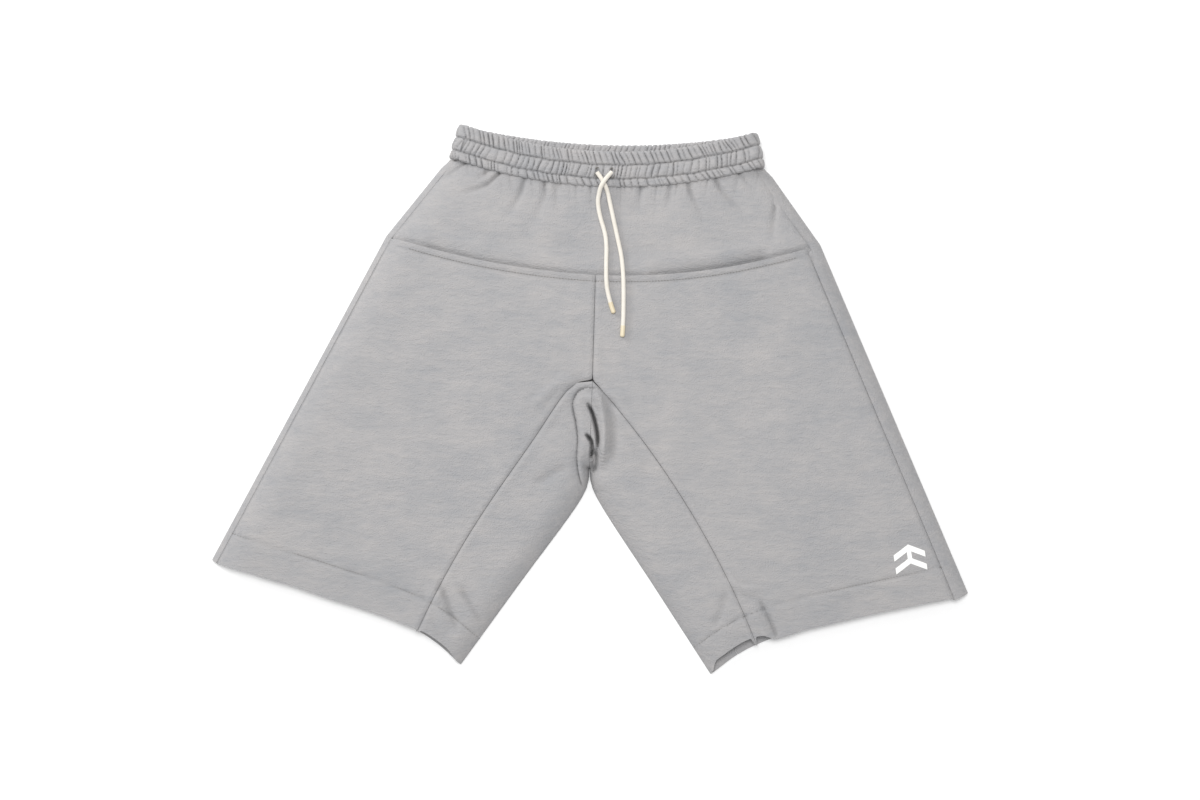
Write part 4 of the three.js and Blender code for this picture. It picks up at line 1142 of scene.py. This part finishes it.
# %% [markdown]
# ## Pockets, buttonholes and print
#
# The pocket bags hang inside. Bartacks are dense zigzag bars, and a buttonhole's rim is satin
# stitch, so both are built from ridges. The print is a thin film that follows the cloth under it.

# %% Pocket bags
POCKET_HALF = 0.4
for word in SIDES:
    low, high = pattern_box(f"pocket_bag_{word}")
    u, v = np.linspace(0, 1, 46), np.linspace(0, 1, 40)
    x = low[0] + (high[0] - low[0]) * u[:, None] + 0 * v[None, :]
    top = np.minimum(seam_height_at(x) - YOKE_ALLOWANCE, high[1])
    bottom_round = 14 * (1 - np.sqrt(np.clip(1 - (2 * np.abs(u - 0.5)) ** 8, 0, 1)))[:, None]
    y = top + (low[1] + bottom_round - top) * v[None, :]
    z = low[2] + 1.2 + (y - low[1]) * LEG_SLOPE + 0.35 * swell(x, y, 26, 71)
    outer, inner = (np.stack([x, y, z + half], axis=-1) for half in (POCKET_HALF, -POCKET_HALF))
    bag = sheet_solid(f"pocket_cloth_{word}", outer, inner)
    pieces[f"pocket_bag_{word}"] = bag

# %% Bartacks
for word in SIDES:
    for end in ("inner", "outer"):
        node = f"pocket_bartack_{word}_{end}"
        low, high = pattern_box(node)
        u, v = np.linspace(0, 1, 41), np.linspace(0, 1, 13)
        across = np.sin(math.pi * v)[None, :]
        ridges = np.abs(np.sin(math.pi * 12 * u))[:, None]
        x = low[0] + (high[0] - low[0]) * v[None, :] + 0 * u[:, None]
        y = low[1] + (high[1] - low[1]) * u[:, None] + 0 * v[None, :]
        top = high[2] + 0.9 * (0.35 + 0.65 * across) * (0.6 + 0.4 * ridges)
        outer = np.stack([x, y, top], axis=-1)
        inner = np.stack([x, y, np.full_like(x, low[2])], axis=-1)
        pieces[node] = sheet_solid(f"bartack_{word}_{end}", outer, inner)

# %% Buttonholes
RIM_HALF = (3.6, 5.5)
RIM_RADIUS = 0.75
RIM_HEIGHT = 23.7
RIM_POINTS, RIM_SIDES = 120, 10
for word, centre in zip(("left", "right"), EYELETS):
    turn = np.linspace(0, 2 * math.pi, RIM_POINTS, endpoint=False)
    section = np.linspace(0, 2 * math.pi, RIM_SIDES, endpoint=False)[None, :]
    satin = 1 + 0.16 * np.sin(30 * turn)
    ring_x = centre[0] + (RIM_HALF[0] + RIM_RADIUS * np.cos(section)) * np.cos(turn)[:, None]
    ring_y = centre[1] + (RIM_HALF[1] + RIM_RADIUS * np.cos(section)) * np.sin(turn)[:, None]
    ring_z = RIM_HEIGHT + (RIM_RADIUS * satin)[:, None] * np.sin(section)
    faces = ring_faces(RIM_POINTS, RIM_SIDES, 0, TUBE_ORDER)
    points = to_metres(np.stack([ring_x, ring_y, ring_z], axis=-1))
    pieces[f"buttonhole_{word}"] = new_piece(f"buttonhole_rim_{word}", points, faces)

# %% Print on the leg
MARK = {"half": 18, "rise": 10, "bar": 7, "pitch": 15, "stem": 2.5, "film": 0.25}
mark_middle = LEG[1]["hem"][0] + [-69, 40]
mark_turn = HEM_ANGLE[1] + math.pi / 2


def print_strip(a, b, drop, width, film=MARK["film"], count=24):
    """A strip of film between two upright edges of the mark, laid on the cloth."""
    u, v = np.linspace(0, 1, count)[:, None], np.linspace(0, 1, 9)[None, :]
    x = a[0] + (b[0] - a[0]) * u + width * v
    y = a[1] + (b[1] - a[1]) * u + drop * v
    flat = turned(np.stack([x, y - MARK["pitch"]], axis=-1), mark_turn / 2) + mark_middle
    z = on_leg(1)(flat[..., 0], flat[..., 1]) + 0.1
    return with_height(flat, z + film), with_height(flat, z)


marks = []
half, rise_mm, bar = MARK["half"], MARK["rise"], MARK["bar"]
for level in (0, MARK["pitch"]):
    marks.append(print_strip((-half, level), (0, level + rise_mm), bar, 0))
    marks.append(print_strip((0, level + rise_mm), (half, level), bar, 0))
stem_low = (-MARK["stem"], rise_mm + bar - 1.5)
stem_high = (-MARK["stem"], MARK["pitch"] + rise_mm)
marks.append(print_strip(stem_low, stem_high, 0, 2 * MARK["stem"], MARK["film"] / 2))
printed = [sheet_solid(f"print_{k}", *mark) for k, mark in enumerate(marks)]

# %% [markdown]
# ## Pads and their mesh covers
#
# Impact pads are moulded foam: soft-edged slabs, a little crowned. A short cloth simulation with
# pressure swells a thinner slab into that shape, and its result is kept as a plain mesh.

# %% Foam pads
SIM_FRAMES = 20
PAD_PRESSURE = 4
PAD_SWELL_LIMIT = 0.0022
PAD_VOXEL = 0.0034
PAD_INSET = 0.0011
PAD_CORNER = 7
PAD_BODIES = {
    "tailbone": "tailbone_insert",
    "seat_left": "seat_insert_left",
    "seat_right": "seat_insert_right",
    "hip_left": "hip_insert_left",
    "hip_right": "hip_insert_right",
}


def vertex_places(piece):
    return np.array([vertex.co[:] for vertex in piece.data.vertices])


def apply_all(piece):
    depsgraph = bpy.context.evaluated_depsgraph_get()
    final = bpy.data.meshes.new_from_object(piece.evaluated_get(depsgraph))
    piece.modifiers.clear()
    piece.data = final


def foam_pad(name, low, high):
    """A slab with rounded corners and edges, swollen by a short simulation."""
    middle, size = (low + high) / 2, high - low
    U, V = np.meshgrid(np.linspace(-1, 1, 49), np.linspace(-1, 1, 73), indexing="ij")
    corner = np.clip(np.abs(U) ** PAD_CORNER + np.abs(V) ** PAD_CORNER, 0, 2)
    pull = 1 / np.maximum(1, corner) ** (1 / PAD_CORNER)
    half = size / 2 - [PAD_INSET, PAD_INSET, 0]
    x = middle[0] + half[0] * U * pull
    y = middle[1] + half[1] * V * pull
    edge = np.clip(1 - np.maximum(np.abs(U), np.abs(V)), 0, 1)
    crown = half[2] * (0.35 + 0.42 * ease(edge / 0.12))
    outer = np.stack([x, y, middle[2] + crown], axis=-1)
    inner = np.stack([x, y, middle[2] - crown], axis=-1)
    points = np.concatenate([outer.reshape(-1, 3), inner.reshape(-1, 3)])
    piece = new_piece(name, points, solid_faces(*U.shape), None)
    remesh = piece.modifiers.new("voxels", "REMESH")
    remesh.mode = "VOXEL"
    remesh.voxel_size = PAD_VOXEL
    apply_all(piece)
    before = vertex_places(piece)
    cloth = piece.modifiers.new("swell", "CLOTH")
    cloth.settings.use_pressure = True
    cloth.settings.uniform_pressure_force = PAD_PRESSURE
    cloth.settings.effector_weights.gravity = 0
    scene = bpy.context.scene
    for number in range(1, SIM_FRAMES + 1):
        scene.frame_set(number)
    apply_all(piece)
    scene.frame_set(1)
    after = vertex_places(piece)
    moved = after - before
    reach = np.linalg.norm(moved, axis=1, keepdims=True)
    after = before + moved * np.minimum(1, PAD_SWELL_LIMIT / np.maximum(reach, 1e-9))
    after = np.clip(after, low, high)
    piece.data.vertices.foreach_set("co", after.ravel())
    smooth = piece.modifiers.new("smooth", "SUBSURF")
    smooth.levels = 1
    apply_all(piece)
    piece.data.polygons.foreach_set("use_smooth", [True] * len(piece.data.polygons))
    return piece


for word, body in PAD_BODIES.items():
    low, high = (np.array(c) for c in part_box(f"{word}_pad"))
    pad = foam_pad(f"foam_{word}", low, high)
    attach(pad, body)
    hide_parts(f"{word}_pad")
    finish_with(pad, "foam")
    print("foam", word, len(pad.data.vertices), "points")

# %% Mesh covers
MESH_LIFT = 0.9
MESH_THICK = 0.7
for word in PAD_BODIES:
    low, high = pattern_box(f"{word}_sleeve")
    u, v = np.linspace(0, 1, 61)[:, None], np.linspace(0, 1, 61)[None, :]
    x = low[0] + (high[0] - low[0]) * u + 0 * v
    y = low[1] + (high[1] - low[1]) * v + 0 * u
    from_side = np.minimum(x - low[0], high[0] - x)
    from_end = y - low[1]
    drop = ease(np.minimum(from_side, from_end) / 3.0)
    z = low[2] + MESH_LIFT + (high[2] - low[2] - MESH_LIFT) * drop
    outer, inner = (np.stack([x, y, z - under], axis=-1) for under in (0, MESH_THICK))
    cover = sheet_solid(f"mesh_cover_{word}", outer, inner)
    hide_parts(f"{word}_sleeve")
    finish_with(cover, "mesh")

# %% [markdown]
# ## What stands for what
#
# Each panel hides the plain solid that it dresses, and says which finish it takes. The flat size
# of each cloth panel is also measured.

OTHER_FINISHES = {
    "bartack": "thread", "buttonhole": "thread", "elastic": "elastic",
    "drawcord": "drawcord", "pocket_bag": "pocketing",
}
for name, piece in pieces.items():
    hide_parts(name.replace("gusset_back", "gusset"))
    found = [finish for part, finish in OTHER_FINISHES.items() if part in name]
    finish_with(piece, found[0] if found else "fleece")
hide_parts("leg_print")
for piece in printed:
    finish_with(piece, "print")


for name, piece in pieces.items():
    if not name.startswith(("front", "back", "gusset")):
        continue
    places = vertex_places(piece)[:, :2]
    own_axes = np.linalg.eigh(np.cov(places.T))[1]
    width, length = (float(c) for c in np.ptp(places @ own_axes, axis=0))

# %% [markdown]
# ## Materials
#
# Every finish is mixed from nodes. Colours are written as sRGB and turned to linear by one
# function, and each pattern's scale comes from a real size in millimetres.

# %% Material helpers
def linear(hex_colour):
    channels = [int(hex_colour[k : k + 2], 16) / 255 for k in (1, 3, 5)]
    return (*[c / 12.92 if c <= 0.04045 else ((c + 0.055) / 1.055) ** 2.4 for c in channels], 1)


def add_node(tree, kind, inputs=None, **settings):
    """Adds a node with its settings, and links or sets its inputs."""
    made = tree.nodes.new(kind)
    for name, value in settings.items():
        setattr(made, name, value)
    for name, value in (inputs or {}).items():
        if isinstance(value, bpy.types.NodeSocket):
            tree.links.new(value, made.inputs[name])
        else:
            made.inputs[name].default_value = value
    return made


def per_metre(size_mm):
    """How often a pattern of this size in millimetres repeats in a metre."""
    return 1000 / size_mm


CREASE_SHADE = 0.55


def cloth_finish(name, colour, shade, yarn_mm, roughness, sheen, bump_mm, slub_mm=14, fibre_mm=4):
    """Cloth with soft dye mottling, slubs along the yarn, a knitted surface and painted shade in its
    creases.
    """
    material = bpy.data.materials.new(name)
    material.use_nodes = True
    tree = material.node_tree
    shader = tree.nodes["Principled BSDF"]
    shader.inputs["Roughness"].default_value = roughness
    shader.inputs["Sheen Weight"].default_value = sheen
    shader.inputs["Sheen Roughness"].default_value = 0.5
    shader.inputs["Specular IOR Level"].default_value = 0.25

    def noise(vector, size_mm, detail, **more):
        inputs = {"Vector": vector, "Scale": per_metre(size_mm), "Detail": detail, **more}
        return add_node(tree, "ShaderNodeTexNoise", inputs).outputs[0]

    def maths(operation, *values):
        inputs = dict(enumerate(values))
        return add_node(tree, "ShaderNodeMath", inputs, operation=operation).outputs[0]

    def stretched(turn):
        inputs = {"Vector": place, "Rotation": (0, 0, turn), "Scale": (0.3, 1.0, 1.0)}
        return add_node(tree, "ShaderNodeMapping", inputs).outputs[0]

    place = add_node(tree, "ShaderNodeTexCoord").outputs["Object"]
    broad = noise(place, 60, 5.0)
    slubs = noise(stretched(0), slub_mm, 6.0)
    yarn = noise(place, yarn_mm, 2.0)
    fibres = noise(stretched(0.35), fibre_mm, 3.0, Roughness=0.6)
    dye = maths("ADD", maths("ADD", broad, slubs), fibres)
    ramp = add_node(tree, "ShaderNodeValToRGB", {"Fac": maths("MULTIPLY", dye, 1 / 3)})
    for stop, position, tint in zip(ramp.color_ramp.elements, (0.32, 0.68), (shade, colour)):
        stop.position = position
        stop.color = linear(tint)
    # Painted shade: the colour is darkened by the crease depth stored on each piece.
    painted_shade = add_node(tree, "ShaderNodeAttribute", attribute_name="crease").outputs["Fac"]
    shade_factor = maths("MULTIPLY_ADD", painted_shade, -CREASE_SHADE, 1.0)
    toned = {0: ramp.outputs[0], "Scale": shade_factor}
    tone = add_node(tree, "ShaderNodeVectorMath", toned, operation="SCALE")
    tree.links.new(tone.outputs[0], shader.inputs["Base Color"])
    relief = {"Height": maths("ADD", yarn, fibres), "Strength": 0.8, "Distance": bump_mm * MM}
    bump = add_node(tree, "ShaderNodeBump", relief)
    tree.links.new(bump.outputs[0], shader.inputs["Normal"])
    return material


# %% Cloth, cord and foam finishes
# Washed cotton fleece: a matt knitted face. Its loops are about 0.7 mm apart, drawn at 1.6 mm so
# that they can be seen from this height.
fleece = cloth_finish("washed cotton fleece", "#b0adac", "#9a9b9e", 1.6, 0.92, 0.12, 1.3)
pocketing = cloth_finish("cotton jersey", "#b2afad", "#a5a2a0", 1.2, 0.95, 0.1, 0.2)
mesh_cloth = cloth_finish("warp-knit polyester mesh", "#8f9296", "#74777b", 2.2, 0.8, 0.1, 0.5)
elastic_cloth = cloth_finish("woven elastic", "#e4e2dc", "#d6d3cc", 1.4, 0.8, 0.1, 0.3)
cord_cloth = cloth_finish("knitted cotton cord", "#ebe6de", "#ded8cd", 0.9, 0.9, 0.2, 0.25, 6, 1.5)
thread_cloth = cloth_finish("spun polyester thread", "#827f7c", "#716f6c", 0.6, 0.75, 0.05, 0.1, 4)
foam_skin = cloth_finish("moulded EVA foam", "#44474c", "#393c40", 2.0, 0.72, 0.0, 0.15)
print_film = cloth_finish("screen-printed plastisol", "#fbfbf9", "#f2f2ef", 1.6, 0.45, 0.0, 0.08)
dip = cloth_finish("dipped acetate", "#e3d8c0", "#d8caab", 1.5, 0.32, 0.0, 0.05)
dip.node_tree.nodes["Principled BSDF"].inputs["IOR"].default_value = 1.48

FINISHES = {
    "fleece": fleece, "pocketing": pocketing, "mesh": mesh_cloth, "elastic": elastic_cloth,
    "drawcord": cord_cloth, "thread": thread_cloth, "foam": foam_skin, "print": print_film,
    "cord_tip": dip,
}
for piece, finish in FINISHED:
    piece.data.materials.clear()
    piece.data.materials.append(FINISHES[finish])

# %% [markdown]
# ## Floor and light
#
# A pale seamless floor and one broad light overhead give the even, nearly shadowless look of a
# catalogue page. A weaker light from one side keeps the seams readable.

# %% Floor, lights and sky
floor_mesh = bpy.data.meshes.new("floor")
FLOOR_HALF = 6.0
FLOOR_Z = -0.0006
corners = ((-1, -1), (1, -1), (1, 1), (-1, 1))
corners = [(a * FLOOR_HALF, b * FLOOR_HALF, FLOOR_Z) for a, b in corners]
floor_mesh.from_pydata(corners, [], [(0, 1, 2, 3)])
floor = placed("floor", floor_mesh)
floor_finish = bpy.data.materials.new("white paper")
floor_finish.use_nodes = True
paper = floor_finish.node_tree.nodes["Principled BSDF"]
paper.inputs["Base Color"].default_value = (0.97, 0.97, 0.97, 1)
paper.inputs["Roughness"].default_value = 0.95
paper.inputs["Specular IOR Level"].default_value = 0.1
floor_mesh.materials.append(floor_finish)


def soft_light(name, place, size, watts, aim=(0, 0, 0)):
    data = bpy.data.lights.new(name, "AREA")
    data.shape = "DISK"
    data.size = size
    data.energy = watts
    lamp = placed(name, data)
    lamp.location = place
    lamp.rotation_euler = (Vector(aim) - Vector(place)).to_track_quat("-Z", "Y").to_euler()


soft_light("overhead", (-0.15, 0.75, 3.4), 1.7, 82)
soft_light("raking", (-2.0, 1.8, 1.3), 1.0, 30)
world = bpy.data.worlds.new("studio")
world.use_nodes = True
sky = world.node_tree.nodes["Background"]
sky.inputs["Color"].default_value = (1, 1, 1, 1)
sky.inputs["Strength"].default_value = 0.5
bpy.context.scene.world = world
bpy.context.scene.view_settings.view_transform = "Standard"
